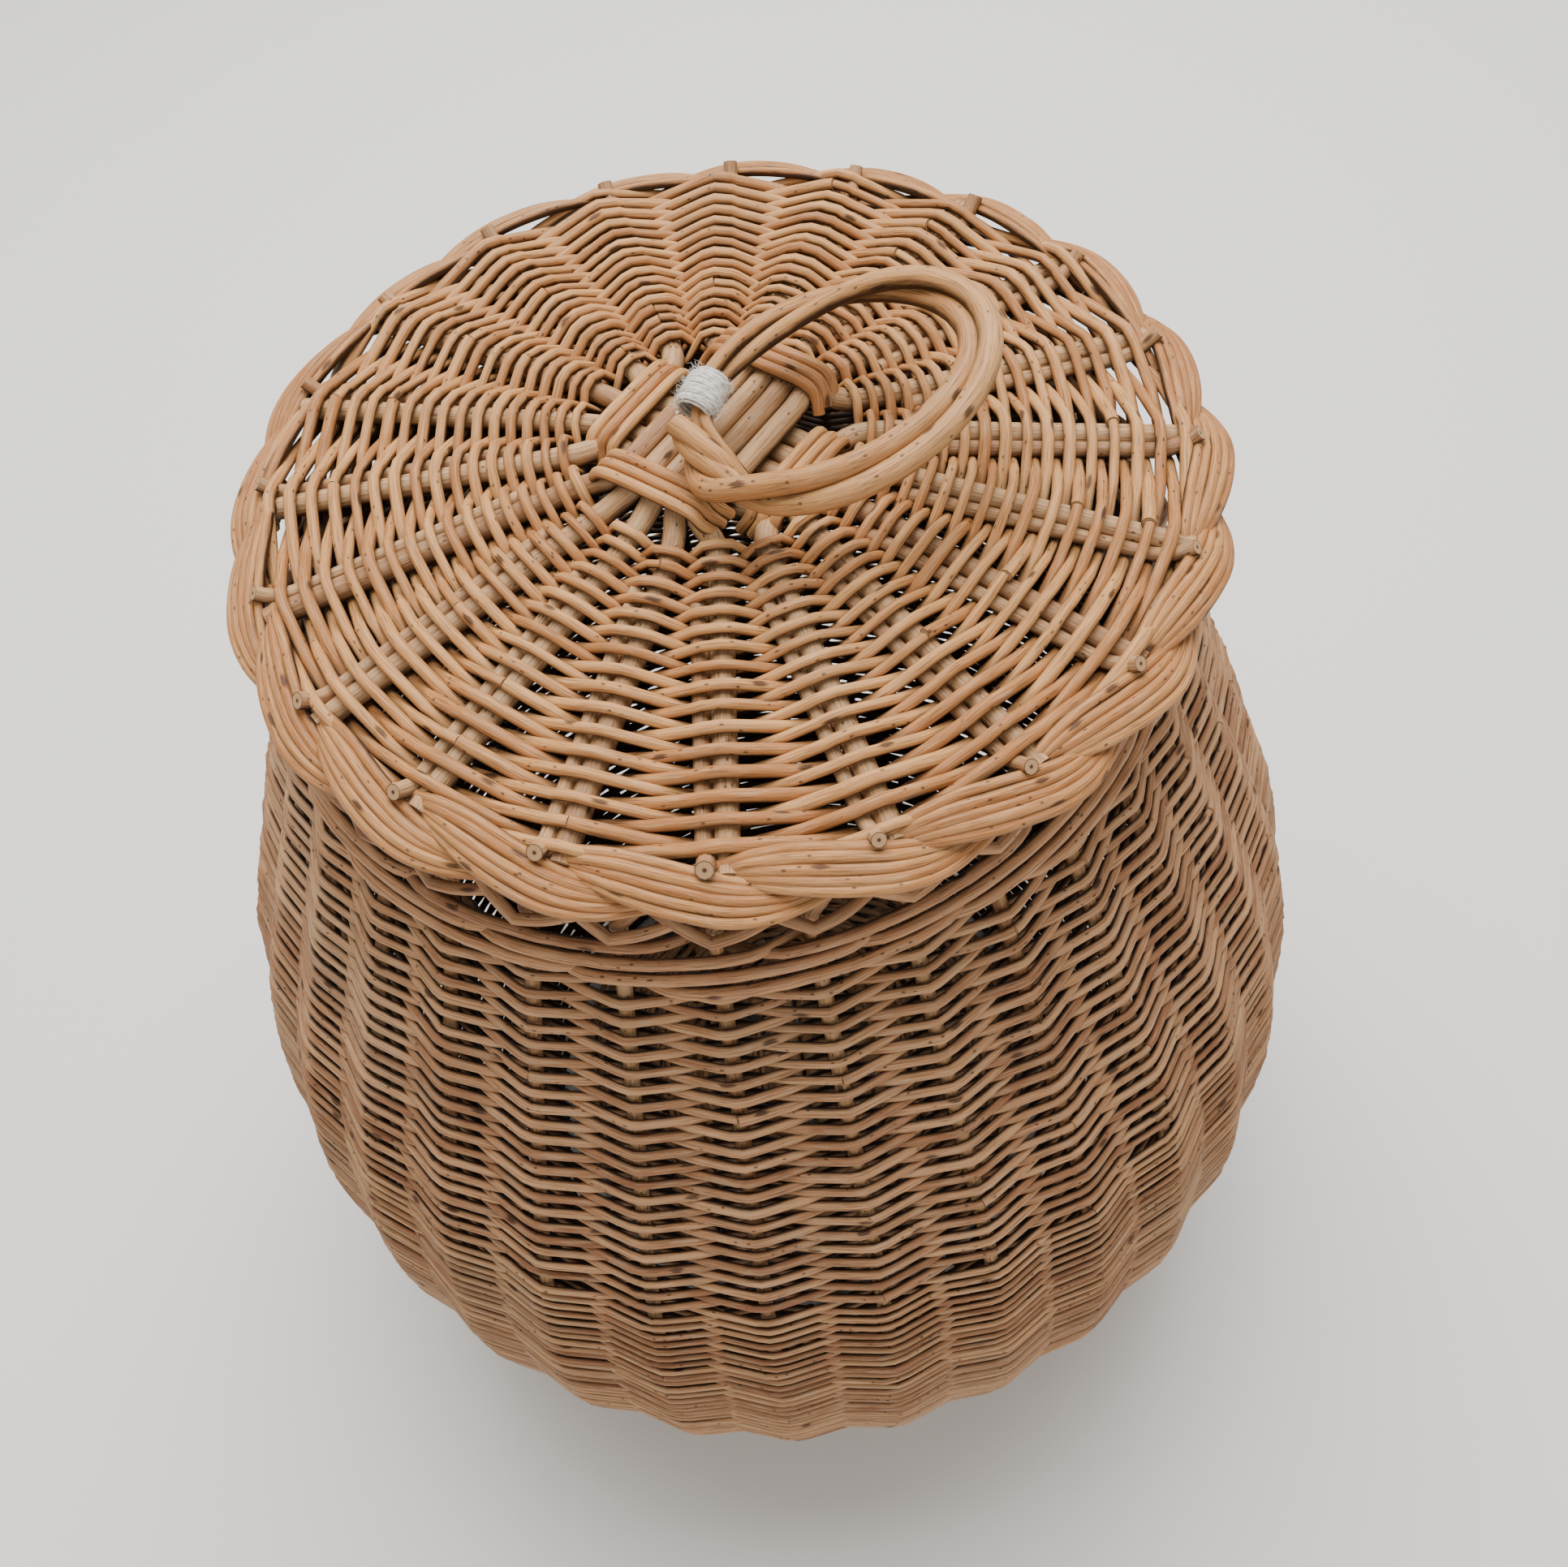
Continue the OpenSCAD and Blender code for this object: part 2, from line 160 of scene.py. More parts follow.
class WillowColours(bpy.types.PropertyGroup):
    """sRGB colours of the rods and the twine"""
    lid_light: colour_code("Lid light", "Lighter lid rods", "#CA945C")
    lid_dark: colour_code("Lid dark", "Darker lid rods", "#A36A3B")
    body_light: colour_code("Body light", "Lighter body rods", "#BC8E64")
    body_dark: colour_code("Body dark", "Darker body rods", "#8A5C3C")
    rim_light: colour_code("Rim light", "Lighter rods of the rim", "#BC8A60")
    rim_dark: colour_code("Rim dark", "Darker rods of the rim", "#8A5A3A")
    stick_light: colour_code("Stick light", "Lighter sticks", "#BE9468")
    stick_dark: colour_code("Stick dark", "Darker sticks", "#946743")
    handle_light: colour_code("Handle light", "Lighter handle rods", "#C4905A")
    handle_dark: colour_code("Handle dark", "Darker handle rods", "#A26B3A")
    bark: colour_code("Bark", "Knots, flecks and leaf scars", "#3A2417")
    pale: colour_code("Pale wood", "Dry, raised fibres", "#E2C39A")
    # painted shade: this near-black brown darkens the creases and the rods' hidden sides, as shade
    # with some old dust
    shade_and_grime: colour_code("Grime", "Old dust in the creases", "#22130A")
    grey: colour_code("Weathered grey", "Worn, weathered streaks", "#AE9878")
    twine: colour_code("Twine", "Undyed cotton twine", "#DCD9CF")
    floor: colour_code("Floor", "Studio floor", "#E9E7E3")


GROUPS = {
    "hamper_body": HamperBodySizes,
    "hamper_lid": LidSizes,
    "hamper_handle": HandleSizes,
    "hamper_colours": WillowColours,
}


# ---------------------------------------------------------------- swept rods

class RodBundle:
    """Collects swept willow rods as arrays, then makes one mesh of them."""

    def __init__(self, sides, seed):
        self.sides = sides
        self.rng = np.random.default_rng(seed)
        self.co, self.tone, self.cut, self.shade_and_grime = [], [], [], []
        self.loops, self.uv, self.starts = [], [], []
        self.count = 0
        self.loop_count = 0
        self.rods = 0

    def add(self, path, lift, radius, tone=None, caps=True, dirt=0.0):
        """One rod along path. lift points away from the hidden side; radius may vary;
        the last argument, 0 to 1, adds painted shade and dust, more where the rod runs deep in the
        weave."""
        path = np.asarray(path, float)
        n = len(path)
        radius = np.broadcast_to(np.asarray(radius, float), (n,))
        run = np.zeros_like(path)
        step = np.diff(path, axis=0)
        step /= np.maximum(np.linalg.norm(step, axis=1), 1e-9)[:, None]
        run[0], run[-1] = step[0], step[-1]
        run[1:-1] = step[:-1] + step[1:]
        run /= np.maximum(np.linalg.norm(run, axis=1), 1e-9)[:, None]
        side = np.cross(run, np.broadcast_to(lift, path.shape))
        side /= np.maximum(np.linalg.norm(side, axis=1), 1e-9)[:, None]
        up = np.cross(side, run)
        turn = np.arange(self.sides) * TURN / self.sides
        ring = (-np.cos(turn)[None, :, None] * up[:, None, :]
                + np.sin(turn)[None, :, None] * side[:, None, :])
        co = path[:, None, :] + ring * radius[:, None, None]
        base = self.count
        index = base + np.arange(n * self.sides).reshape(n, self.sides)
        after = np.roll(index, -1, axis=1)
        quads = np.stack([index[:-1], after[:-1], after[1:], index[1:]], -1).reshape(-1, 4)
        along = np.concatenate([[0], np.cumsum(np.linalg.norm(np.diff(path, axis=0), axis=1))])
        along = along + self.rods * 3.17
        girth = TURN * float(radius.mean())
        v0 = np.arange(self.sides) / self.sides * girth
        v1 = (np.arange(self.sides) + 1) / self.sides * girth
        u0 = np.repeat(along[:-1, None], self.sides, 1)
        u1 = np.repeat(along[1:, None], self.sides, 1)
        va = np.repeat(v0[None], n - 1, 0)
        vb = np.repeat(v1[None], n - 1, 0)
        uv = np.stack([np.stack([u0, va], -1), np.stack([u0, vb], -1),
                       np.stack([u1, vb], -1), np.stack([u1, va], -1)], 2)
        self._faces(quads, uv.reshape(-1, 2))
        tone = self.rng.random() if tone is None else tone
        self.co.append(co.reshape(-1, 3))
        self.tone.append(np.full(n * self.sides, tone))
        self.cut.append(np.zeros(n * self.sides))
        dirt = np.broadcast_to(np.asarray(dirt, float), (n,))
        # painted shade and dust: 1 on each rod's hidden side, 0 on its lifted side, raised where
        # the rod runs deep in the weave
        self.shade_and_grime.append(np.clip((1 + np.cos(turn))[None] / 2 + dirt[:, None], 0, 1).ravel())
        self.count += n * self.sides
        if caps:
            self._cap(co[0], path[0], tone, along[0], True)
            self._cap(co[-1], path[-1], tone, along[-1], False)
        self.rods += 1

    def _faces(self, faces, uv):
        """Notes faces that all have as many corners as each other."""
        self.starts.append(self.loop_count + np.arange(len(faces)) * faces.shape[1])
        self.loops.append(faces.reshape(-1))
        self.uv.append(uv)
        self.loop_count += faces.size

    def _cap(self, ring, middle, tone, u, first):
        """Closes a rod's end with its own rim, so that the cut edge stays crisp."""
        s = self.sides
        self.co.append(np.vstack([ring, middle[None]]))
        self.tone.append(np.full(s + 1, tone))
        self.cut.append(np.concatenate([np.full(s, 0.5), [1.0]]))
        self.shade_and_grime.append(np.zeros(s + 1))
        rim = self.count + np.arange(s)
        nxt = np.roll(rim, -1)
        hub = np.full(s, self.count + s)
        tris = np.stack([hub, nxt, rim] if first else [hub, rim, nxt], -1)
        self._faces(tris, np.full((tris.size, 2), u))
        self.count += s + 1

    def make(self, name):
        """One mesh object of all the rods, with their own UV map and attributes."""
        mesh = bpy.data.meshes.new(name)
        mesh.vertices.add(self.count)
        mesh.vertices.foreach_set("co", np.vstack(self.co).astype(np.float32).ravel())
        mesh.loops.add(self.loop_count)
        mesh.loops.foreach_set("vertex_index", np.concatenate(self.loops).astype(np.int32))
        starts = np.concatenate(self.starts).astype(np.int32)
        mesh.polygons.add(len(starts))
        mesh.polygons.foreach_set("loop_start", starts)
        for label, values in (("tone", self.tone), ("cut", self.cut), ("shade_and_grime", self.shade_and_grime)):
            layer = mesh.attributes.new(label, "FLOAT", "POINT")
            layer.data.foreach_set("value", np.concatenate(values).astype(np.float32))
        uv = mesh.uv_layers.new(name="rod")
        uv.data.foreach_set("uv", np.vstack(self.uv).astype(np.float32).ravel())
        mesh.update(calc_edges=True)
        mesh.validate()
        mesh.shade_smooth()
        piece = bpy.data.objects.new(name, mesh)
        bpy.context.scene.collection.objects.link(piece)
        return piece


def smooth_path(points, per_run):
    """A Catmull-Rom curve through the points."""
    p = np.asarray(points, float)
    ext = np.vstack([2 * p[0] - p[1], p, 2 * p[-1] - p[-2]])
    out = []
    for i in range(1, len(ext) - 2):
        a, b, c, d = ext[i - 1], ext[i], ext[i + 1], ext[i + 2]
        for t in np.arange(per_run) / per_run:
            out.append(0.5 * (2 * b + (c - a) * t + (2 * a - 5 * b + 4 * c - d) * t * t
                              + (3 * b - a - 3 * c + d) * t ** 3))
    out.append(p[-1])
    return np.array(out)


def around(radius, z, angle, centre=(0.0, 0.0)):
    """Points at a radius, height and angle about an upright line."""
    radius, z, angle = np.broadcast_arrays(radius, z, angle)
    return np.stack([centre[0] + radius * np.cos(angle), centre[1] + radius * np.sin(angle), z], -1)


def finish_piece(rods, name, body, slot, material, *nodes):
    """Makes the mesh, gives it its finish and fixes it to its body."""
    piece = rods.make(name)
    piece.data.materials.append(material)
    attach(piece, body)
    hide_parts(*nodes)
    return piece


# ---------------------------------------------------------------- materials

def linear(code):
    """Linear colour of an sRGB hex code."""
    parts = [int(code[i:i + 2], 16) / 255 for i in (1, 3, 5)]
    curve = (c / 12.92 if c <= 0.04045 else ((c + 0.055) / 1.055) ** 2.4 for c in parts)
    return (*curve, 1.0)


def add_node(tree, kind, inputs=(), **settings):
    """Adds a node, sets its properties, then sets or links its inputs."""
    node = tree.nodes.new(kind)
    for key, value in settings.items():
        setattr(node, key, value)
    for key, value in dict(inputs).items():
        if isinstance(value, bpy.types.NodeSocket):
            tree.links.new(value, node.inputs[key])
        else:
            node.inputs[key].default_value = value
    return node


def blank_material(name):
    """A new material with an empty node tree."""
    material = bpy.data.materials.new(name)
    material.use_nodes = True
    tree = material.node_tree
    tree.nodes.clear()
    return material, tree


def math_node(tree, operation, a, b=0.0):
    """One sum on sockets or numbers."""
    return add_node(tree, "ShaderNodeMath", {0: a, 1: b}, operation=operation).outputs[0]


def mix_colour(tree, factor, a, b):
    """Mixes two colours; the colour sockets of a Mix node are its sixth and seventh."""
    node = tree.nodes.new("ShaderNodeMix")
    node.data_type = "RGBA"
    for index, value in ((0, factor), (6, a), (7, b)):
        if isinstance(value, bpy.types.NodeSocket):
            tree.links.new(value, node.inputs[index])
        else:
            node.inputs[index].default_value = value
    return node.outputs[2]


def ramp(tree, value, low, high):
    """0 below low, 1 above high, smooth between."""
    return add_node(tree, "ShaderNodeMapRange", {"Value": value, "From Min": low, "From Max": high},
                    interpolation_type="SMOOTHSTEP").outputs["Result"]


def willow(name, light, dark, wear=0.35, polish=0.0):
    """Buff willow: boiled, peeled rods with a thin waxy skin. The eye sees long fine streaks
    along each rod, every rod a little different in tone, small dark flecks, and now and then
    a dark leaf scar; old rods go greyer and duller where they are worn."""
    colours = bpy.context.scene.hamper_colours
    material, tree = blank_material(name)
    tone = add_node(tree, "ShaderNodeAttribute", attribute_name="tone").outputs["Fac"]
    cut = add_node(tree, "ShaderNodeAttribute", attribute_name="cut").outputs["Fac"]
    uv = add_node(tree, "ShaderNodeUVMap", uv_map="rod").outputs["UV"]
    place = add_node(tree, "ShaderNodeTexCoord").outputs["Object"]

    def along_rod(length_mm, width_mm, detail=3.0, roughness=0.55):
        # a pattern one length long and one width wide on the rod's surface
        scaled = add_node(tree, "ShaderNodeMapping", {
            "Vector": uv, "Scale": (1000 / length_mm, 1000 / width_mm, 1.0)}).outputs[0]
        return add_node(tree, "ShaderNodeTexNoise", {
            "Vector": scaled, "Scale": 1.0, "Detail": detail, "Roughness": roughness},
            noise_dimensions="2D").outputs["Fac"]

    streaks = along_rod(42, 0.9, 4.0, 0.6)
    bands = along_rod(95, 5.0, 2.0)
    fibre = along_rod(9, 0.35, 2.0)
    mottling = along_rod(16, 3.5, 3.0, 0.6)
    base = mix_colour(tree, ramp(tree, tone, 0.05, 0.95), linear(dark), linear(light))
    base = mix_colour(tree, math_node(tree, "MULTIPLY", ramp(tree, bands, 0.38, 0.68), 0.45),
                      base, linear(light))
    base = mix_colour(tree, math_node(tree, "MULTIPLY", ramp(tree, streaks, 0.48, 0.66), 0.75),
                      base, linear(dark))
    scratches = along_rod(13, 0.42, 3.0, 0.6)
    base = mix_colour(tree, math_node(tree, "MULTIPLY", ramp(tree, scratches, 0.55, 0.7), 0.55),
                      base, linear(colours.bark))
    base = mix_colour(tree, math_node(tree, "MULTIPLY", ramp(tree, scratches, 0.44, 0.3), 0.28),
                      base, linear(colours.pale))
    grey = math_node(tree, "MULTIPLY", ramp(tree, mottling, 0.48, 0.72), wear)
    base = mix_colour(tree, grey, base, linear(colours.grey))
    # worn patches a hand wide
    patch = add_node(tree, "ShaderNodeTexNoise", {
        "Vector": place, "Scale": 1 / 0.11, "Detail": 3.0}).outputs["Fac"]
    faded = math_node(tree, "MULTIPLY", ramp(tree, patch, 0.52, 0.7), wear * 0.7)
    base = mix_colour(tree, faded, base, linear(colours.grey))
    # flecks about 1 mm long and scars about 5 mm long
    fleck_at = add_node(tree, "ShaderNodeMapping", {
        "Vector": uv, "Scale": (1000 / 5.2, 1000 / 3.0, 1.0)}).outputs[0]
    fleck = add_node(tree, "ShaderNodeTexVoronoi", {"Vector": fleck_at, "Scale": 1.0,
                                                    "Randomness": 1.0}, voronoi_dimensions="2D")
    chance = add_node(tree, "ShaderNodeSeparateColor", {0: fleck.outputs["Color"]}).outputs[0]
    few = math_node(tree, "GREATER_THAN", math_node(
        tree, "MULTIPLY", chance, ramp(tree, along_rod(26, 7.0, 1.0), 0.4, 0.62)), 0.6)
    speck = math_node(tree, "ADD", fleck.outputs["Distance"],
                      math_node(tree, "MULTIPLY", math_node(tree, "SUBTRACT", fibre, 0.5), 0.12))
    flecks = math_node(tree, "MULTIPLY", math_node(
        tree, "SUBTRACT", 1.0, ramp(tree, speck, 0.08, 0.2)), few)
    scar_at = add_node(tree, "ShaderNodeMapping", {
        "Vector": uv, "Scale": (1000 / 58.0, 1000 / 21.0, 1.0)}).outputs[0]
    scar = add_node(tree, "ShaderNodeTexVoronoi", {"Vector": scar_at, "Scale": 1.0,
                                                   "Randomness": 0.9}, voronoi_dimensions="2D")
    ragged = math_node(tree, "ADD", scar.outputs["Distance"],
                       math_node(tree, "MULTIPLY", math_node(tree, "SUBTRACT", fibre, 0.5), 0.08))
    scars = math_node(tree, "SUBTRACT", 1.0, ramp(tree, ragged, 0.028, 0.062))
    marks = math_node(tree, "MAXIMUM", math_node(tree, "MULTIPLY", flecks, 0.75),
                      math_node(tree, "MULTIPLY", scars, 0.85))
    base = mix_colour(tree, marks, base, linear(colours.bark))
    # painted shade, with some dust: the rods' hidden sides and the rods deep in the weave, which
    # hands and cloths never reach, darken to a smoke-brown
    shade_and_grime = add_node(tree, "ShaderNodeAttribute", attribute_name="shade_and_grime").outputs["Fac"]
    shade_and_grime = math_node(tree, "MULTIPLY", ramp(tree, math_node(tree, "ADD", shade_and_grime, math_node(
        tree, "MULTIPLY", math_node(tree, "SUBTRACT", mottling, 0.5), 0.5)), 0.28, 0.74), 0.94)
    base = mix_colour(tree, shade_and_grime, base, linear(colours.shade_and_grime))
    # cut ends: pale wood ring, dark rim and a dark pith
    rim = ramp(tree, cut, 0.49, 0.5)
    pith = ramp(tree, cut, 0.82, 0.93)
    edge = math_node(tree, "SUBTRACT", 1.0, ramp(tree, cut, 0.5, 0.6))
    end_grain = mix_colour(tree, math_node(tree, "MAXIMUM", pith, edge), linear("#B08A62"),
                           linear("#4A3020"))
    base = mix_colour(tree, rim, base, end_grain)
    height = math_node(tree, "ADD", math_node(tree, "MULTIPLY", fibre, 0.5),
                       math_node(tree, "MULTIPLY", streaks, 0.8))
    height = math_node(tree, "SUBTRACT", height, math_node(tree, "MULTIPLY", scars, 0.9))
    bump = add_node(tree, "ShaderNodeBump", {"Height": height, "Strength": 0.5,
                                             "Distance": 0.0004}).outputs["Normal"]
    rough = add_node(tree, "ShaderNodeMapRange", {
        "Value": streaks, "To Min": 0.42 - polish, "To Max": 0.66 - polish}).outputs["Result"]
    shader = add_node(tree, "ShaderNodeBsdfPrincipled", {
        "Base Color": base, "Roughness": rough, "Normal": bump, "IOR": 1.45,
        "Specular IOR Level": 0.28})
    add_node(tree, "ShaderNodeOutputMaterial", {"Surface": shader.outputs[0]})
    return material


def cotton_twine():
    """Undyed cotton twine: loosely spun, so it is matt, fuzzy and shaded between its plies."""
    colours = bpy.context.scene.hamper_colours
    material, tree = blank_material("cotton_twine")
    uv = add_node(tree, "ShaderNodeUVMap", uv_map="rod").outputs["UV"]
    # plies cross the twine at a slant, one to each 1.6 mm
    slant = add_node(tree, "ShaderNodeMapping", {
        "Vector": uv, "Rotation": (0, 0, math.radians(35)), "Scale": (1, 1, 1)}).outputs[0]
    plies = add_node(tree, "ShaderNodeTexWave", {"Vector": slant, "Scale": 1 / 0.0105,
                                                 "Distortion": 1.5, "Detail": 2.0})
    lint = add_node(tree, "ShaderNodeTexNoise", {"Vector": uv, "Scale": 1 / 0.0012, "Detail": 3.0})
    # painted shade between the plies: each groove darkens towards grey-brown
    base = mix_colour(tree, math_node(tree, "MULTIPLY", plies.outputs["Fac"], 0.4),
                      linear(colours.twine), linear("#A8A498"))
    base = mix_colour(tree, ramp(tree, lint.outputs["Fac"], 0.55, 0.8), base, linear("#F1EFE8"))
    bump = add_node(tree, "ShaderNodeBump", {"Height": plies.outputs["Fac"], "Strength": 0.6,
                                             "Distance": 0.0003}).outputs["Normal"]
    shader = add_node(tree, "ShaderNodeBsdfPrincipled", {
        "Base Color": base, "Roughness": 0.95, "Normal": bump, "Specular IOR Level": 0.15,
        "Sheen Weight": 0.3})
    add_node(tree, "ShaderNodeOutputMaterial", {"Surface": shader.outputs[0]})
    return material


def studio_floor():
    """Matt painted board, the same all over."""
    material, tree = blank_material("matt_board")
    shader = add_node(tree, "ShaderNodeBsdfPrincipled", {
        "Base Color": linear(bpy.context.scene.hamper_colours.floor), "Roughness": 0.9})
    add_node(tree, "ShaderNodeOutputMaterial", {"Surface": shader.outputs[0]})
    return material


def finish(kind):
    """The material of one kind of rod, made once."""
    colours = bpy.context.scene.hamper_colours
    names = {
        "lid": ("buff_willow_lid", colours.lid_light, colours.lid_dark, 0.16, 0.02),
        "body": ("buff_willow_body", colours.body_light, colours.body_dark, 0.34, -0.04),
        "rim": ("buff_willow_rim", colours.rim_light, colours.rim_dark, 0.2, 0.0),
        "stick": ("buff_willow_sticks", colours.stick_light, colours.stick_dark, 0.3, -0.02),
        "handle": ("buff_willow_handle", colours.handle_light, colours.handle_dark, 0.12, 0.06),
    }
    name, light, dark, wear, polish = names[kind]
    return bpy.data.materials.get(name) or willow(name, light, dark, wear, polish)


# ---------------------------------------------------------------- the body's side

def side_profile():
    """The stakes' line up the side: distance along it, radius, height and outward normal.
    One arc up to the belly, one above it, then straight in to the rim."""
    s = bpy.context.scene.hamper_body
    low_r = (s.belly_z ** 2 + (BELLY_R - s.foot_r) ** 2) / (2 * (BELLY_R - s.foot_r))
    low_x = BELLY_R - low_r
    high_x = BELLY_R - s.shoulder_curve_r
    inset = s.wall / 2
    start = math.asin((FOOT_Z - s.belly_z) / (low_r - inset))
    a = np.linspace(start, 0, 60)
    b = np.linspace(0, s.shoulder_lean, 40)[1:]
    r = np.concatenate([low_x + (low_r - inset) * np.cos(a),
                        high_x + (s.shoulder_curve_r - inset) * np.cos(b)])
    z = np.concatenate([s.belly_z + (low_r - inset) * np.sin(a),
                        s.belly_z + (s.shoulder_curve_r - inset) * np.sin(b)])
    nr = np.concatenate([np.cos(a), np.cos(b)])
    nz = np.concatenate([np.sin(a), np.sin(b)])
    rise = RIM_TOP - z[-1]
    r = np.append(r, r[-1] - rise * math.tan(s.shoulder_lean))
    z = np.append(z, z[-1] + rise)
    nr = np.append(nr, nr[-1])
    nz = np.append(nz, nz[-1])
    along = np.concatenate([[0], np.cumsum(np.hypot(np.diff(r), np.diff(z)))])
    return along, r, z, nr, nz


def along_at(height):
    """How far up the stakes a height is."""
    along, _, z, _, _ = side_profile()
    return float(np.interp(height, z, along))


def on_side(distance, out, angle):
    """Points on the side at a distance up the stakes, pushed out by out; and their normals."""
    along, r, z, nr, nz = side_profile()
    ri, zi = np.interp(distance, along, r), np.interp(distance, along, z)
    ni, mi = np.interp(distance, along, nr), np.interp(distance, along, nz)
    point = around(ri + ni * out, zi + mi * out, angle)
    return point, around(ni, mi, angle)


# where a rod's path is sampled between two stakes, and how far it has crossed
CROSSING = np.array(((0.0, 1.0), (0.10, 0.86), (0.5, 0.0), (0.90, -0.86)))
# rods that make up one row, and how far up the stakes the rows are beaten down hardest and least
RODS_TO_ROW = 2
BEATEN = (100 * MM, 250 * MM)


def stake_angle(i):
    """Where a stake stands round the hamper."""
    return (i + 0.5) * TURN / bpy.context.scene.hamper_body.stakes


def woven_side(name, low, high, rod_d, pitch, sides, seed, *nodes):
    """Randing: each rod goes in front of one stake and behind the next, row on row."""
    s = bpy.context.scene.hamper_body
    rods = RodBundle(sides, seed)
    rng = rods.rng
    rows = int(round((high - low) / pitch))
    pitch = (high - low) / rows
    share, crossed = CROSSING.T
    per = len(CROSSING)
    span = s.stakes // RODS_TO_ROW
    step = TURN / s.stakes
    for row in range(rows):
        level = low + (row + 0.5) * pitch
        beaten = float(np.interp(level, BEATEN, (1.0, 0.0)))
        first = int(rng.integers(0, s.stakes))
        for start in range(first, first + s.stakes, span):
            i = np.arange(span + 1)
            sign = np.where((start + i + row) % 2 == 0, 1.0, -1.0)
            push = rng.normal(0, 0.25 * MM, span + 1)
            reach = (s.stake_d + rod_d) / 2 * (1 - 0.25 * beaten)
            angle = (stake_angle(start + i)[:, None] + share[None] * step).ravel()[:1 - per]
            out = (sign[:, None] * crossed[None] * reach + push[:, None]).ravel()[:1 - per]
            sag = np.interp(np.arange(len(angle)), np.arange(0, len(angle), per),
                            rng.normal(0, 0.22 * MM, span + 1))
            t = np.linspace(0, 1, len(angle))
            thick = rod_d / 2 * (1.1 - 0.22 * t) * rng.uniform(0.93, 1.07) * (1 + 0.24 * beaten)
            path, lift = on_side(level + sag, out, angle)
            # painted shade and dust, deeper where the rod passes behind a stake
            rods.add(path, lift, thick, dirt=np.clip(-out / reach, 0, 1) * 0.6)
    finish_piece(rods, name, "hamper", "body_willow", finish("body"), *nodes)


def make_side_stakes():
    """Upright stakes from the foot to the border, a little thinner at the top."""
    s = bpy.context.scene.hamper_body
    rods = RodBundle(10, 11)
    distance = np.linspace(0, along_at(WALE_TOP + 6 * MM), 40)
    for i in range(s.stakes):
        path, lift = on_side(distance, rods.rng.normal(0, 0.15 * MM), stake_angle(i))
        rods.add(path, lift, np.linspace(s.stake_d / 2 * 1.04, s.stake_d / 2 * 0.94, 40))
    finish_piece(rods, "side_stakes_rods", "hamper", "sticks", finish("stick"), "side_stakes")


def waling(name, node, kind, low, high, rod_d, seed, climb=1.0, rows=4):
    """Waling: each rod passes in front of three stakes and behind one, rising as it goes."""
    s = bpy.context.scene.hamper_body
    rods = RodBundle(10, seed)
    rng = rods.rng
    per = 6
    reach = (s.stake_d + rod_d) / 2
    pitch = (high - low) / rows
    for row in range(rows):
        level = low + (row + 0.5) * pitch
        k = np.arange(s.stakes * per + 1) / per
        phase = (k + row) % 4.0
        out = reach * (1.0 - 1.9 * np.exp(-((phase - 2.0) / 0.42) ** 2))
        rise = climb * pitch * ((((phase + 2.0) % 4.0) / 4.0) - 0.5)
        path, lift = on_side(level + rise + rng.normal(0, 0.1 * MM, len(k)), out, stake_angle(k))
        path[-1] = path[0]
        # a whole ring of rod, whose two ends meet
        rods.add(path, lift, rod_d / 2 * (1 + 0.06 * np.sin(k * 0.9 + row)), caps=False)
    finish_piece(rods, name, "hamper", kind + "_willow", finish(kind), node)


def make_rim_border():
    """Trac border: a stake is kinked to the right, passes behind one stake, comes down in
    front of the next in a sharp bend, and goes on to the right and inside."""
    s = bpy.context.scene.hamper_body
    rods = RodBundle(12, 31)
    rng = rods.rng
    step = TURN / s.stakes
    d = s.border_rod_d
    base = along_at(WALE_TOP)
    # stakes passed, distance out of the stakes' line and rise above the waling, in mm
    legs = (((0.0, 1.0, -5.0), (0.0, 2.0, 4.0), (0.015, 5.2, 9.5)),
            ((0.015, 5.2, 9.5), (0.14, 5.4, 13.5), (0.32, 3.5, 17.5), (0.7, 0.5, 21.0),
             (1.1, 1.8, 21.8), (1.42, 5.8, 18.0), (1.72, 9.3, 13.2), (2.0, 11.2, 8.0)),
            ((2.0, 11.2, 8.0), (2.3, 9.8, 9.8), (2.62, 5.8, 11.8), (3.0, -1.0, 12.5),
             (3.5, -5.0, 11.5)))
    for i in range(s.stakes):
        tone = rng.random()
        shift = rng.normal(0, 0.3, 2)
        runs = [smooth_path(leg, 4) for leg in legs]
        run = np.vstack([runs[0], runs[1][1:], runs[2][1:]])
        run[:, 1] += shift[0]
        run[:, 2] += shift[1]
        angle = stake_angle(i) + run[:, 0] * step
        path, lift = on_side(base + run[:, 2] * MM, run[:, 1] * MM, angle)
        radius = np.linspace(d / 2 * 1.08, d / 2 * 0.86, len(path))
        rods.add(path, lift + np.array([0.0, 0.0, 0.4]), radius, tone)
    finish_piece(rods, "rim_border_rods", "hamper", "rim_willow", finish("rim"), "rim_border")


# ---------------------------------------------------------------- crosses and round weaves

# between the two layers of a cross
LAYER_GAP = 0.2 * MM


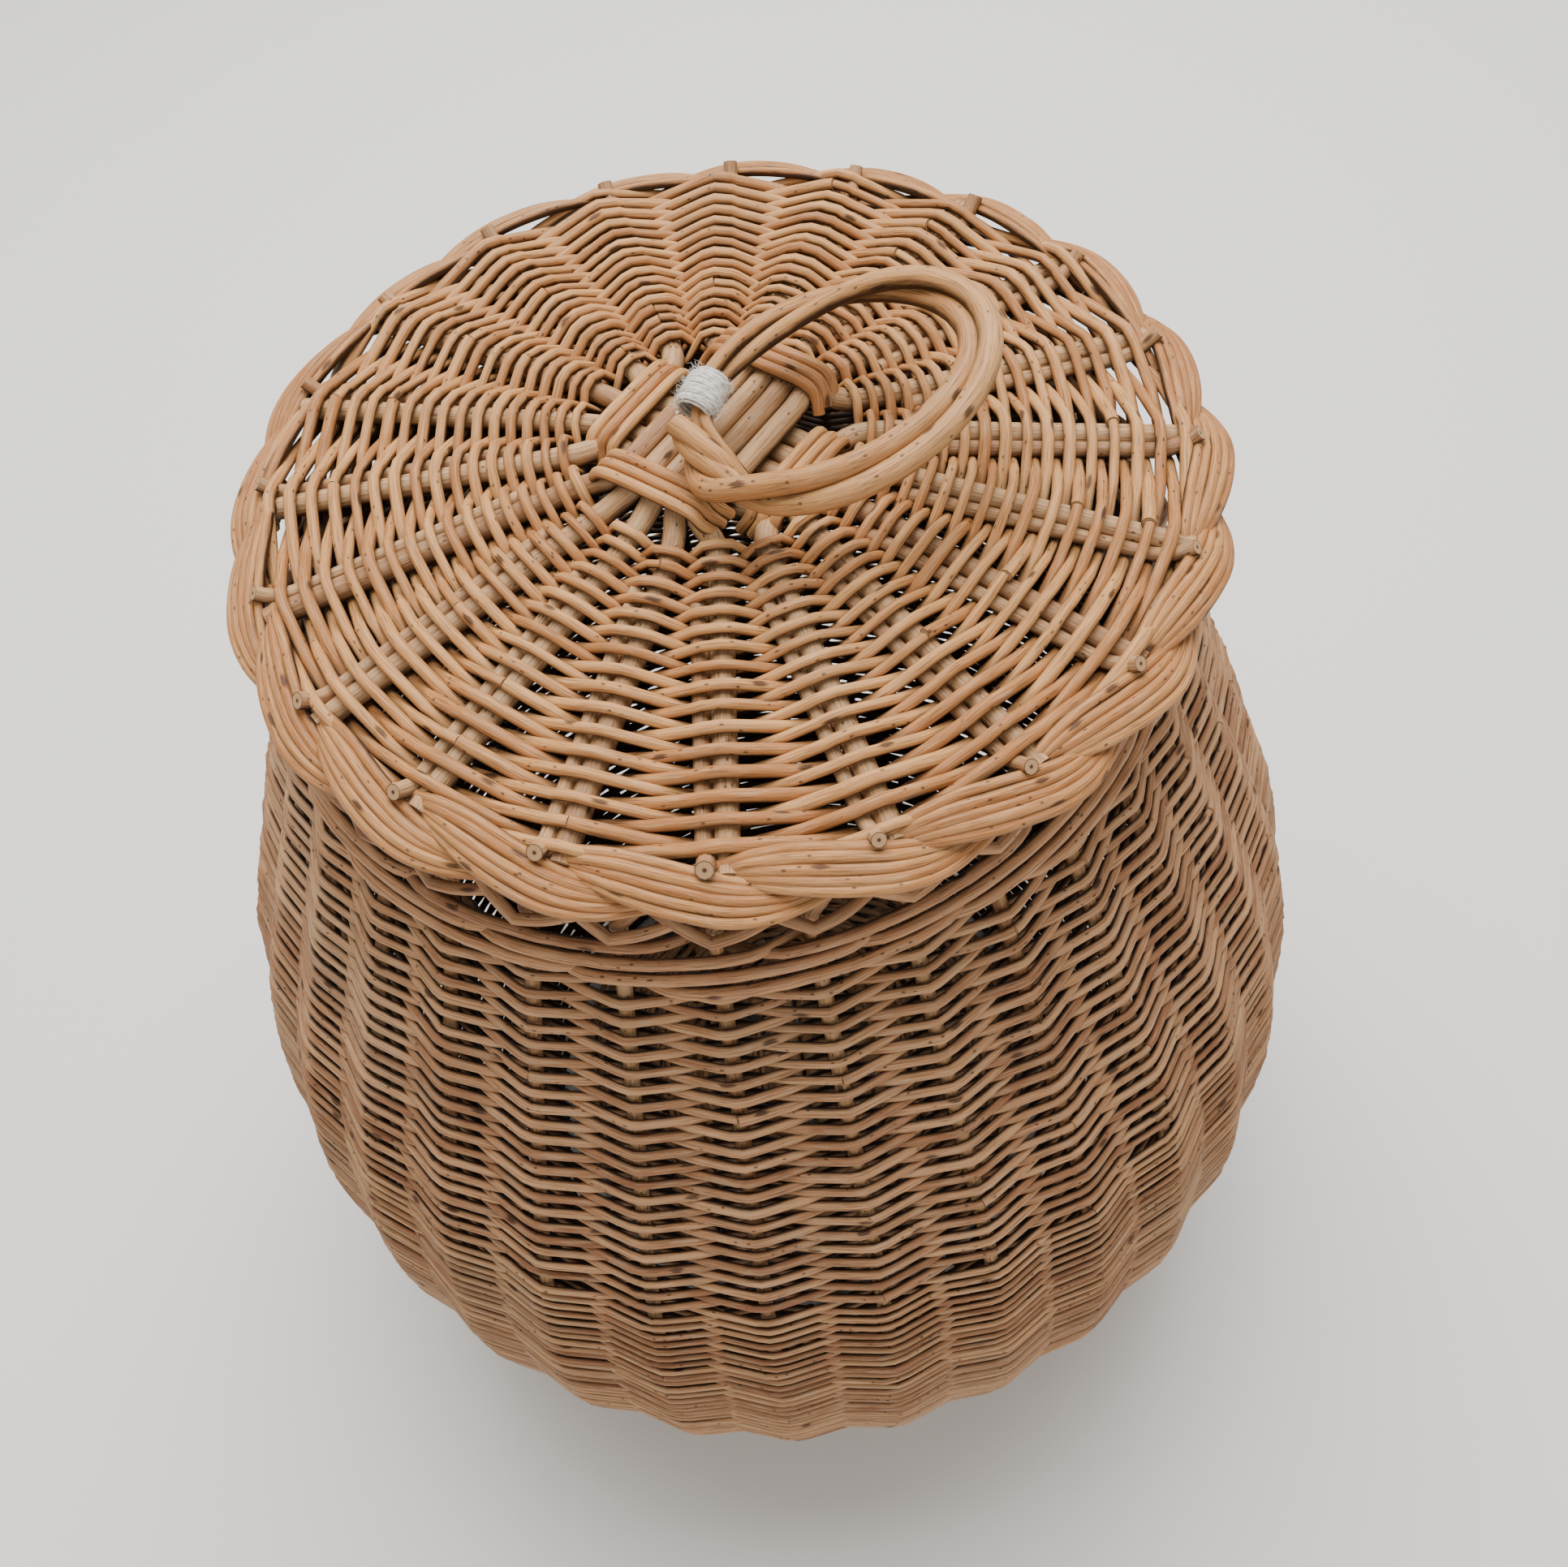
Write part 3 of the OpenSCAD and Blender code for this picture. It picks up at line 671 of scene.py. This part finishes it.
def cross_layer(rods, turn, sticks, pitch, z, half, fan_at, end_at, d, centre):
    """Whole sticks, straight through the cross and fanned into spokes at both ends.
    fan_at and end_at are the radius and height where the fan is open and where it stops."""
    spoke = np.array((fan_at, np.mean((fan_at, end_at), axis=0), end_at))
    for i in range(sticks):
        ends = []
        for order, turned in ((sticks - 1 - i, turn + math.pi), (i, turn)):
            off = (order - (sticks - 1) / 2) * pitch
            fan = (order - (sticks - 1) / 2) * QUARTER / sticks
            local = np.vstack([((half * 0.6, off, z), (half, off, z)),
                               around(spoke[:, 0], spoke[:, 1], fan)])
            c, q = math.cos(turned), math.sin(turned)
            ends.append(np.stack([centre[0] + c * local[:, 0] - q * local[:, 1],
                                  centre[1] + q * local[:, 0] + c * local[:, 1], local[:, 2]], -1))
        path = smooth_path(np.vstack([ends[0][::-1], ends[1]]), 6)
        wobble = 1 + 0.03 * np.sin(np.linspace(0, 9, len(path)) + i * 1.7)
        rods.add(path, UPRIGHT, d / 2 * wobble)


def round_weave(rods, radii, cone, spokes, centre, rod_d, seat, second=None, lengths=1):
    """Randing on a disc. seat is a spoke's thickness; second tells of the liners beside the
    spokes; lengths is how many rods make up a row."""
    rng = rods.rng
    count = len(spokes)
    gap = TURN / count
    for row, r in enumerate(radii):
        d = rod_d(r)
        lined = second is not None and r > second["from"]
        reach = (seat + d) / 2
        edge = min(0.3 * gap, (seat * 0.55) / r)
        per = 5 if lined else 4
        span = count // lengths
        keep = span * per + 1
        knots = np.arange(0, keep, per)
        first = int(rng.integers(0, count))
        for start in range(first, first + count, span):
            angle, out = [], []
            for k in range(span + 1):
                sign = 1.0 if (start + k + row) % 2 == 0 else -1.0
                a = spokes[0] + (start + k) * gap
                angle += [a, a + edge]
                out += [sign * reach, sign * reach * 0.82]
                nxt = a + gap
                if lined:
                    lean = second["side"] / r
                    far = (second["d"] + d) / 2
                    angle += [nxt - gap * 0.5 + (edge - lean) / 2 * 0.6, nxt - lean - 0.35 * edge,
                              nxt - lean + 0.1 * edge]
                    out += [0.0, -sign * far * 0.8, -sign * far * 1.02]
                else:
                    angle += [a + gap / 2, nxt - edge]
                    out += [0.0, -sign * reach * 0.82]
            angle = np.array(angle[:keep])
            out = np.array(out[:keep]) + np.interp(np.arange(keep), knots,
                                                   rng.normal(0, 0.2 * MM, len(knots)))
            drift = np.interp(np.arange(keep), knots, rng.normal(0, 0.25 * MM, len(knots)))
            z, slope = cone(r)
            normal = np.array([math.sin(slope), math.cos(slope)])
            path = around(r + drift + normal[0] * out, z + normal[1] * out, angle, centre)
            t = np.linspace(0, 1, keep)
            thick = d / 2 * (1.12 - 0.26 * t) * rng.uniform(0.94, 1.06)
            lift = around(normal[0], normal[1], angle)
            # painted shade and dust, deeper where the rod passes under a spoke
            rods.add(path, lift, thick, dirt=np.clip(-out / reach, 0, 1) * 0.45)


def base_cone(r):
    """The base spokes' middle: level at every radius."""
    return BASE_Z, 0.0


def lid_cone(r):
    """Height of the lid spokes' middle at a radius, and the slope there."""
    (high_r, high_z), (low_r, low_z) = SPOKE_TOP, SPOKE_FOOT
    slope = (high_z - low_z) / (low_r - high_r)
    return low_z + (low_r - r) * slope, math.atan(slope)


def rows_between(low, high, pitch_low, pitch_high):
    """Radii of the rows of a disc, further apart towards its edge."""
    radii = [low]
    while radii[-1] < high:
        t = (radii[-1] - low) / (high - low)
        radii.append(radii[-1] + pitch_low + (pitch_high - pitch_low) * t)
    return np.array(radii[:-1]) + (high - radii[-2]) / 2


# across a cross from its middle line, in shares of its reach, and rise in rod diameters
BINDING = ((-1.14, -2.0), (-1.02, -0.9), (-0.8, 0.0), (0.0, 0.15), (0.8, 0.0), (1.02, -0.9),
           (1.14, -2.0))


def binding(rods, turn, tops, reach, out_from, d, centre, rows):
    """Rods laid over each side of a cross, dipping down past its outer sticks at both ends."""
    for side in range(4):
        a = turn + side * QUARTER
        u = np.array([math.cos(a), math.sin(a), 0.0])
        v = np.array([-math.sin(a), math.cos(a), 0.0])
        for row in range(rows):
            out = out_from + row * (d + 0.3 * MM)
            top = tops[side % 2] + d / 2
            pts = [np.array([centre[0], centre[1], 0]) + u * (out - max(0, abs(x) - 1) * 20 * MM)
                   + v * reach * x + UPRIGHT * (top + rise * d)
                   for x, rise in BINDING]
            rods.add(smooth_path(pts, 4), UPRIGHT, d / 2)


# ---------------------------------------------------------------- operators

class HAMPER_OT_base(bpy.types.Operator):
    """Make the base: cross, binding, woven disc and the foot ring"""
    bl_idname = "hamper.base"
    bl_label = "Base"

    def execute(self, context):
        sticks, d, pitch = 4, 8.6 * MM, 10.4 * MM
        middle = (0.0, 0.0)
        for name, turn, lift in (("base_sticks_under", 0.0, -0.5),
                                 ("base_sticks_over", QUARTER, 0.5)):
            rods = RodBundle(10, 3)
            cross_layer(rods, turn, sticks, pitch, BASE_Z + lift * (d + LAYER_GAP), 34 * MM,
                        (56 * MM, BASE_Z), (BASE_R - 4 * MM, BASE_Z), d, middle)
            finish_piece(rods, name + "_rods", "hamper", "sticks", finish("stick"), name)
        rods = RodBundle(8, 4)
        binding(rods, 0.0, (BASE_Z, BASE_Z + d), sticks / 2 * pitch, 26 * MM, 3.6 * MM, middle, 2)
        finish_piece(rods, "base_binding_rods", "hamper", "body_willow", finish("body"),
                     "base_binding")
        rods = RodBundle(6, 5)
        spoke = TURN / (4 * sticks)
        spokes = [(i + 0.5) * spoke for i in range(4 * sticks)]
        radii = rows_between(50 * MM, BASE_R - 2 * MM, 3.3 * MM, 4.0 * MM)
        round_weave(rods, radii, base_cone, spokes, middle, lambda r: 4.1 * MM, d * 0.6)
        finish_piece(rods, "base_weave_rods", "hamper", "body_willow", finish("body"), "base_weave")
        waling("foot_wale_rods", "foot_wale", "body", along_at(FOOT_Z) - 1 * MM, along_at(FOOT_TOP),
               context.scene.hamper_body.foot_rod_d, 6)
        return {"FINISHED"}


class HAMPER_OT_side(bpy.types.Operator):
    """Set up the stakes and weave the side round them"""
    bl_idname = "hamper.side"
    bl_label = "Side"

    def execute(self, context):
        s = context.scene.hamper_body
        make_side_stakes()
        woven_side("lower_siding_rods", along_at(FOOT_TOP + 1 * MM),
                   along_at(CHANGE_Z - 1.2 * MM), s.lower_rod_d, s.lower_pitch, 6, 21,
                   "lower_siding_outer", "lower_siding_inner")
        woven_side("upper_siding_rods", along_at(CHANGE_Z + 1.6 * MM),
                   along_at(SIDING_TOP - 0.5 * MM), s.upper_rod_d, s.upper_pitch, 8, 22,
                   "upper_siding")
        return {"FINISHED"}


class HAMPER_OT_rim(bpy.types.Operator):
    """Weave the waling under the rim and lay down the border"""
    bl_idname = "hamper.rim"
    bl_label = "Rim"

    def execute(self, context):
        waling("top_wale_rods", "top_wale", "rim", along_at(SIDING_TOP + 0.3 * MM),
               along_at(WALE_TOP), context.scene.hamper_body.wale_rod_d, 30, 1.7)
        make_rim_border()
        return {"FINISHED"}


class HAMPER_OT_lid_cross(bpy.types.Operator):
    """Make the lid's cross of sticks, its liners and its binding"""
    bl_idname = "hamper.lid_cross"
    bl_label = "Lid cross"

    def execute(self, context):
        s = context.scene.hamper_lid
        centre = LID_CENTRE[:2]
        fan_r, end_r = 56 * MM, LID_R - 17 * MM
        for name, turn, lift, seed in (("lid_sticks_under", QUARTER, -0.5, 41),
                                       ("lid_sticks_over", 0.0, 0.5, 42)):
            rods = RodBundle(12, seed)
            cross_layer(rods, s.cross_turn + turn, s.cross_sticks, s.stick_pitch,
                        LID_CROSS_Z + lift * (s.stick_d + LAYER_GAP), 36 * MM,
                        (fan_r, lid_cone(fan_r)[0]), (end_r, lid_cone(end_r)[0]), s.stick_d, centre)
            finish_piece(rods, name + "_rods", "lid", "sticks", finish("stick"), name)
        rods = RodBundle(10, 43)
        for i in range(4 * s.cross_sticks):
            a = s.cross_turn + i * TURN / (4 * s.cross_sticks)
            u = np.array([math.cos(a), math.sin(a), 0.0])
            v = np.array([-math.sin(a), math.cos(a), 0.0])
            side = -(s.stick_d + s.liner_d) / 2
            # beside the spoke, then up over the last rows to a cut end
            run = [(r, side, 0.0) for r in np.linspace(70 * MM, LID_R - 30 * MM, 8)]
            run += [(LID_R - 22 * MM, side * 0.9, 2.5 * MM),
                    (LID_R - 15.6 * MM, side * 0.9, 8.4 * MM)]
            pts = [np.append(centre, 0) + u * r + v * off + UPRIGHT * (lid_cone(r)[0] + rise)
                   for r, off, rise in run]
            d = s.liner_d * rods.rng.uniform(0.9, 1.08)
            rods.add(smooth_path(pts, 2), UPRIGHT, d / 2)
        finish_piece(rods, "lid_liners_rods", "lid", "sticks", finish("stick"), "lid_liners")
        rods = RodBundle(12, 44)
        binding(rods, s.cross_turn, (LID_CROSS_Z + s.stick_d, LID_CROSS_Z),
                s.cross_sticks / 2 * s.stick_pitch, 31 * MM, 4.6 * MM, centre, 3)
        finish_piece(rods, "lid_binding_rods", "lid", "lid_willow", finish("lid"), "lid_binding")
        return {"FINISHED"}


class HAMPER_OT_lid_weave(bpy.types.Operator):
    """Weave the lid round its spokes"""
    bl_idname = "hamper.lid_weave"
    bl_label = "Lid weave"

    def execute(self, context):
        s = context.scene.hamper_lid
        count = 4 * s.cross_sticks
        spokes = [s.cross_turn + i * TURN / count for i in range(count)]
        low, high = 52 * MM, LID_R - 20.5 * MM
        radii = rows_between(low, high, s.inner_pitch, s.outer_pitch)
        split = node_box("lid_weave_inner")[1][0] - LID_CENTRE[0]
        liner = {"from": 78 * MM, "side": (s.stick_d + s.liner_d) / 2, "d": s.liner_d}

        def rod_d(r):
            return s.inner_rod_d + (s.outer_rod_d - s.inner_rod_d) * (r - low) / (high - low)

        inner = [r for r in radii if r < split]
        outer = [r for r in radii if r >= split]
        # over and under go on unbroken from the inner rows to the outer ones
        odd = len(inner) % 2
        for name, part, shift, seed, lengths in (("lid_weave_inner", inner, 0, 51, 1),
                                                 ("lid_weave_outer", outer, odd, 52 + odd, 2)):
            rods = RodBundle(10, seed)
            turned = [a + shift * TURN / count for a in spokes]
            round_weave(rods, part, lid_cone, turned, LID_CENTRE[:2], rod_d, s.stick_d, liner,
                        lengths)
            finish_piece(rods, name + "_rods", "lid", "lid_willow", finish("lid"), name)
        return {"FINISHED"}


class HAMPER_OT_lid_border(bpy.types.Operator):
    """Plait the lid's border, one crossing to each spoke"""
    bl_idname = "hamper.lid_border"
    bl_label = "Lid border"

    def execute(self, context):
        s = context.scene.hamper_lid
        rods = RodBundle(10, 61)
        rng = rods.rng
        units = 4 * s.cross_sticks
        middle = LID_R - 12.2 * MM
        tilt = math.radians(28)
        # spokes passed, distance in from the middle, height and spread of the strand
        course = ((-0.2, 4.6, -4.6, 0.15), (0.05, 6.3, -1.2, 0.34), (0.25, 6.0, 1.8, 0.66),
                  (0.5, 4.2, 3.6, 0.94), (0.8, 0.6, 3.8, 1.0), (1.05, -2.6, 2.4, 0.92),
                  (1.28, -3.8, 0.0, 0.72), (1.5, -2.6, -2.8, 0.5), (1.75, 0.6, -4.8, 0.4),
                  (2.1, 5.0, -5.4, 0.35))
        along, inward, height, spread = smooth_path(course, 6).T
        pitch = s.plait_rod_d * 0.86
        for i in range(units):
            start = s.cross_turn + i * TURN / units - math.radians(1.5)
            shift = rng.normal(0, 0.35, 2) * MM
            for rod in range(s.plait_rods):
                place = (rod - (s.plait_rods - 1) / 2) * pitch
                wave = 0.3 * MM * np.sin(along * 2.6 + rng.uniform(0, TURN))
                y = inward * MM - place * spread + shift[0] + wave
                w = (height * MM - 1.1 * MM * rod * (1 - spread) - 22 * (place * spread) ** 2
                     + shift[1] + 0.25 * MM * np.sin(along * 3.1 + rng.uniform(0, TURN)))
                angle = start + along * TURN / units + place * 0.18 / middle
                r = middle - y * math.cos(tilt) + w * math.sin(tilt)
                z = LID_CENTRE[2] + y * math.sin(tilt) + w * math.cos(tilt)
                path = around(r, z, angle, LID_CENTRE[:2])
                lift = around(math.sin(tilt), math.cos(tilt), angle)
                taper = np.linspace(1.05, 0.9, len(along))
                radius = s.plait_rod_d / 2 * rng.uniform(0.9, 1.08) * taper
                # painted shade: the plait's rods take only the darker half of the tones and a
                # little painted shade all along, so the border reads darker as shade falls on it
                rods.add(path, lift, radius, tone=0.5 * rng.random(), dirt=0.16)
        finish_piece(rods, "lid_border_rods", "lid", "lid_willow", finish("lid"), "lid_border")
        return {"FINISHED"}


def ring_frame():
    """Axes of the ring's plane: along the lean, across it, and off the plane."""
    s = bpy.context.scene.hamper_handle
    along = around(math.cos(s.lean), math.sin(s.lean), s.azimuth)
    across = around(1.0, 0.0, s.azimuth + QUARTER)
    return along, across, np.cross(along, across)


# the ring's near end lies this far behind the line that it turns about
RING_BACK = 3.8 * MM


def ring_points(t):
    """The ring's own line at angle t, its tangent and its outward side."""
    s = bpy.context.scene.hamper_handle
    along, across, off = ring_frame()
    t = np.asarray(t, float)
    point = (PIVOT + np.outer(s.ring_l / 2 * (1 - np.cos(t)) - RING_BACK, along)
             - np.outer(s.ring_w / 2 * np.sin(t), across))
    run = np.outer(s.ring_l / 2 * np.sin(t), along) - np.outer(s.ring_w / 2 * np.cos(t), across)
    run /= np.linalg.norm(run, axis=1)[:, None]
    return point, run, np.cross(run, off)


def off_pivot(u, v, w):
    """A point near the pivot: along the lean, across it and off the ring's plane, in mm."""
    along, across, off = ring_frame()
    return PIVOT + (along * u + across * v + off * w) * MM - along * RING_BACK


# how far round each other the two rods have turned at angles round the ring, in degrees
TWIST = ((-16, 55), (0, 95), (22, 180), (42, 270), (62, 305), (100, 338), (150, 368), (200, 402),
         (240, 470), (272, 545), (300, 600), (326, 640))
# where the tails leave the twine and go down between the sticks
TAIL = ((6.4, 14.5, -2.0), (7.0, 6.5, -5.0), (9.2, -0.5, -10.0), (11.0, -5.0, -17.0))
# one rod's butt, brought up beside the twine and cut off square
BUTT = ((12.5, -20.0, -9.0), (9.2, -11.0, 1.0), (4.6, -2.5, 6.6), (-0.8, 8.2, 8.6))
# angle round the ring where the twine binds it, in degrees, and loose hairs on the twine
TWINE_AT = 323
HAIRS = 520


class HAMPER_OT_handle(bpy.types.Operator):
    """Twist two rods into the ring handle and tuck their ends into the cross"""
    bl_idname = "hamper.handle"
    bl_label = "Handle"

    def execute(self, context):
        s = context.scene.hamper_handle
        off = ring_frame()[2]
        twist = np.array(TWIST, float)
        for name, phase, tail_side in (("handle_rod_a", 0.0, 1.0), ("handle_rod_b", math.pi, -1.0)):
            rods = RodBundle(20, 71 + int(phase))
            t = np.arange(-16, 322, 3.0)
            a = phase + np.radians(np.interp(t, twist[:, 0], twist[:, 1]))
            a = np.convolve(np.pad(a, 4, mode="edge"), np.ones(9) / 9, mode="valid")
            point, run, side = ring_points(np.radians(t))
            # the rods thin towards the twine, which draws them together
            thin = np.interp(t, (190, 318), (1.0, 0.68))
            reach = s.rod_d / 2 * 0.93 * thin
            path = point + reach[:, None] * (np.cos(a)[:, None] * side + np.sin(a)[:, None] * off)
            tail = [path[-1]] + [off_pivot(u + 1.9 * tail_side, v, w + 0.4 * tail_side)
                                 for u, v, w in TAIL]
            tail = smooth_path(tail, 5)[1:]
            radius = s.rod_d / 2 * thin * (1 + 0.03 * np.sin(t * 0.09 + phase))
            radius = np.concatenate([radius, s.rod_d / 2 * np.linspace(0.6, 0.36, len(tail))])
            lift = np.vstack([side, np.repeat(side[-1:], len(tail), 0)]) * 0.5 + off
            rods.add(np.vstack([path, tail]), lift, radius, 0.7 if phase == 0 else 0.4)
            if phase == 0:
                butt = smooth_path([off_pivot(*place) for place in BUTT], 6)
                rods.add(butt, off, s.rod_d / 2 * np.linspace(0.9, 0.98, len(butt)), 0.55)
            finish_piece(rods, name + "_willow", "handle", "handle_willow", finish("handle"), name)
        return {"FINISHED"}


class HAMPER_OT_twine(bpy.types.Operator):
    """Wind the twine round the ring where it closes"""
    bl_idname = "hamper.twine"
    bl_label = "Twine"

    def execute(self, context):
        s = context.scene.hamper_handle
        rods = RodBundle(8, 81)
        rng = rods.rng
        off = ring_frame()[2]
        point, run, side = (part[0] for part in ring_points([math.radians(TWINE_AT)]))
        half = s.twine_l / 2
        # the rods inside lie side by side, so the winding is a flattened round
        wide, thick = 6.3 * MM, 5.4 * MM
        # three layers: how far out, how much of the width they cover, and their slant
        for layer, reach, slant in ((0.0, 1.0, 0.0), (0.8 * MM, 0.82, 0.12),
                                    (1.3 * MM, 0.55, -0.2)):
            wraps = int(s.twine_l * reach / (s.twine_d * 0.92))
            n = wraps * 24 + 1
            a = np.linspace(0, wraps * TURN, n)
            x = np.linspace(-half, half, n) * reach
            knots = np.arange(0, n, 6)
            loose = np.interp(np.arange(n), knots, rng.normal(0, 1, len(knots)))
            x = x + 0.32 * MM * loose + slant * wide * np.sin(a)
            swell = layer + 0.22 * MM * np.roll(loose, 7)
            path = (point + run * x[:, None] + side * (np.cos(a) * (wide + swell))[:, None]
                    + off * (np.sin(a) * (thick + swell))[:, None])
            out = side * np.cos(a)[:, None] + off * np.sin(a)[:, None]
            rods.add(path, out, s.twine_d / 2 * (1 + 0.12 * loose))
        for _ in range(HAIRS):
            b = rng.uniform(0, TURN)
            at = rng.uniform(-half, half)
            out = side * math.cos(b) + off * math.sin(b)
            root = (point + run * at + side * math.cos(b) * (wide + 1.2 * MM)
                    + off * math.sin(b) * (thick + 1.2 * MM))
            curl = rng.normal(0, 1, 3)
            tip = root + out * rng.uniform(0.4, 2.2) * MM + curl * 1.1 * MM
            hair = smooth_path([root, (root + tip) / 2 + rng.normal(0, 0.5 * MM, 3), tip], 4)
            rods.add(hair, np.cross(out, run) + 0.01, np.linspace(0.07, 0.03, len(hair)) * MM)
        finish_piece(rods, "twine_binding", "handle", "twine", cotton_twine(), "handle_twine")
        return {"FINISHED"}


# name, place, what it faces, size and power
LIGHTS = (("overhead", (0.05, 0.85, 2.5), (0.0, 0.0, 0.4), 2.2, 128.0),
          ("front_fill", (0.2, -2.4, 1.4), (0.0, 0.0, 0.3), 1.8, 22.0))
SKY_STRENGTH = 0.5
FLOOR_SIZE = 9.0
# the camera looks down at a pitch, rolled a little, from a distance to its aim
CAMERA_AIM = Vector((0.01385, 0.0, 0.3409))
CAMERA_DISTANCE = 0.7543
CAMERA_PITCH = math.radians(56.76)
CAMERA_ROLL = math.radians(-8.26)
CAMERA_LENS, CAMERA_SENSOR = 36.2, 36.0


class HAMPER_OT_stage(bpy.types.Operator):
    """Lay the studio floor and set the lights and the camera"""
    bl_idname = "hamper.stage"
    bl_label = "Stage"

    def execute(self, context):
        bpy.ops.object.select_all(action="DESELECT")
        bpy.ops.mesh.primitive_plane_add(size=FLOOR_SIZE)
        floor = context.object
        floor.name = "studio_floor"
        floor.data.materials.append(studio_floor())

        world = bpy.data.worlds.new("studio_light")
        world.use_nodes = True
        sky = world.node_tree.nodes["Background"]
        sky.inputs["Color"].default_value = linear("#F6F4F1")
        sky.inputs["Strength"].default_value = SKY_STRENGTH
        context.scene.world = world
        for name, place, aim, size, power in LIGHTS:
            light = bpy.data.lights.new(name, "AREA")
            light.size = size
            light.energy = power
            lamp = bpy.data.objects.new(name, light)
            lamp.location = place
            facing = Vector(aim) - Vector(place)
            lamp.rotation_euler = facing.to_track_quat("-Z", "Y").to_euler()
            context.scene.collection.objects.link(lamp)

        ahead = Vector((0, math.cos(CAMERA_PITCH), -math.sin(CAMERA_PITCH)))
        right = Vector((1, 0, 0))
        up = right.cross(ahead)
        turned = right * math.cos(CAMERA_ROLL) + up * math.sin(CAMERA_ROLL)
        risen = up * math.cos(CAMERA_ROLL) - right * math.sin(CAMERA_ROLL)
        data = bpy.data.cameras.new("camera")
        data.sensor_fit = "HORIZONTAL"
        data.sensor_width = CAMERA_SENSOR
        data.lens = CAMERA_LENS
        data.clip_start = 0.01
        camera = bpy.data.objects.new("camera", data)
        axes = Matrix((turned, risen, -ahead)).transposed()
        place = CAMERA_AIM - ahead * CAMERA_DISTANCE
        camera.matrix_world = Matrix.Translation(place) @ axes.to_4x4()
        context.scene.collection.objects.link(camera)
        context.scene.camera = camera
        return {"FINISHED"}


OPERATORS = (HAMPER_OT_base, HAMPER_OT_side, HAMPER_OT_rim, HAMPER_OT_lid_cross,
             HAMPER_OT_lid_weave, HAMPER_OT_lid_border, HAMPER_OT_handle, HAMPER_OT_twine,
             HAMPER_OT_stage)


class HAMPER_PT_panel(bpy.types.Panel):
    """Lists the hamper's pieces and sizes"""
    bl_label = "Willow Hamper"
    bl_idname = "HAMPER_PT_panel"
    bl_space_type = "VIEW_3D"
    bl_region_type = "UI"
    bl_category = "Hamper"

    def draw(self, context):
        for operator in OPERATORS:
            self.layout.operator(operator.bl_idname)
        for group, kind in GROUPS.items():
            box = self.layout.box()
            for name in kind.__annotations__:
                box.prop(getattr(context.scene, group), name)


def register():
    for kind in (*GROUPS.values(), *OPERATORS, HAMPER_PT_panel):
        bpy.utils.register_class(kind)
    for group, kind in GROUPS.items():
        setattr(bpy.types.Scene, group, PointerProperty(type=kind))


def unregister():
    for group in GROUPS:
        delattr(bpy.types.Scene, group)
    for kind in reversed((*GROUPS.values(), *OPERATORS, HAMPER_PT_panel)):
        bpy.utils.unregister_class(kind)


def main():
    register()
    for operator in OPERATORS:
        area, name = operator.bl_idname.split(".")
        getattr(getattr(bpy.ops, area), name)()


if __name__ == "__main__":
    main()
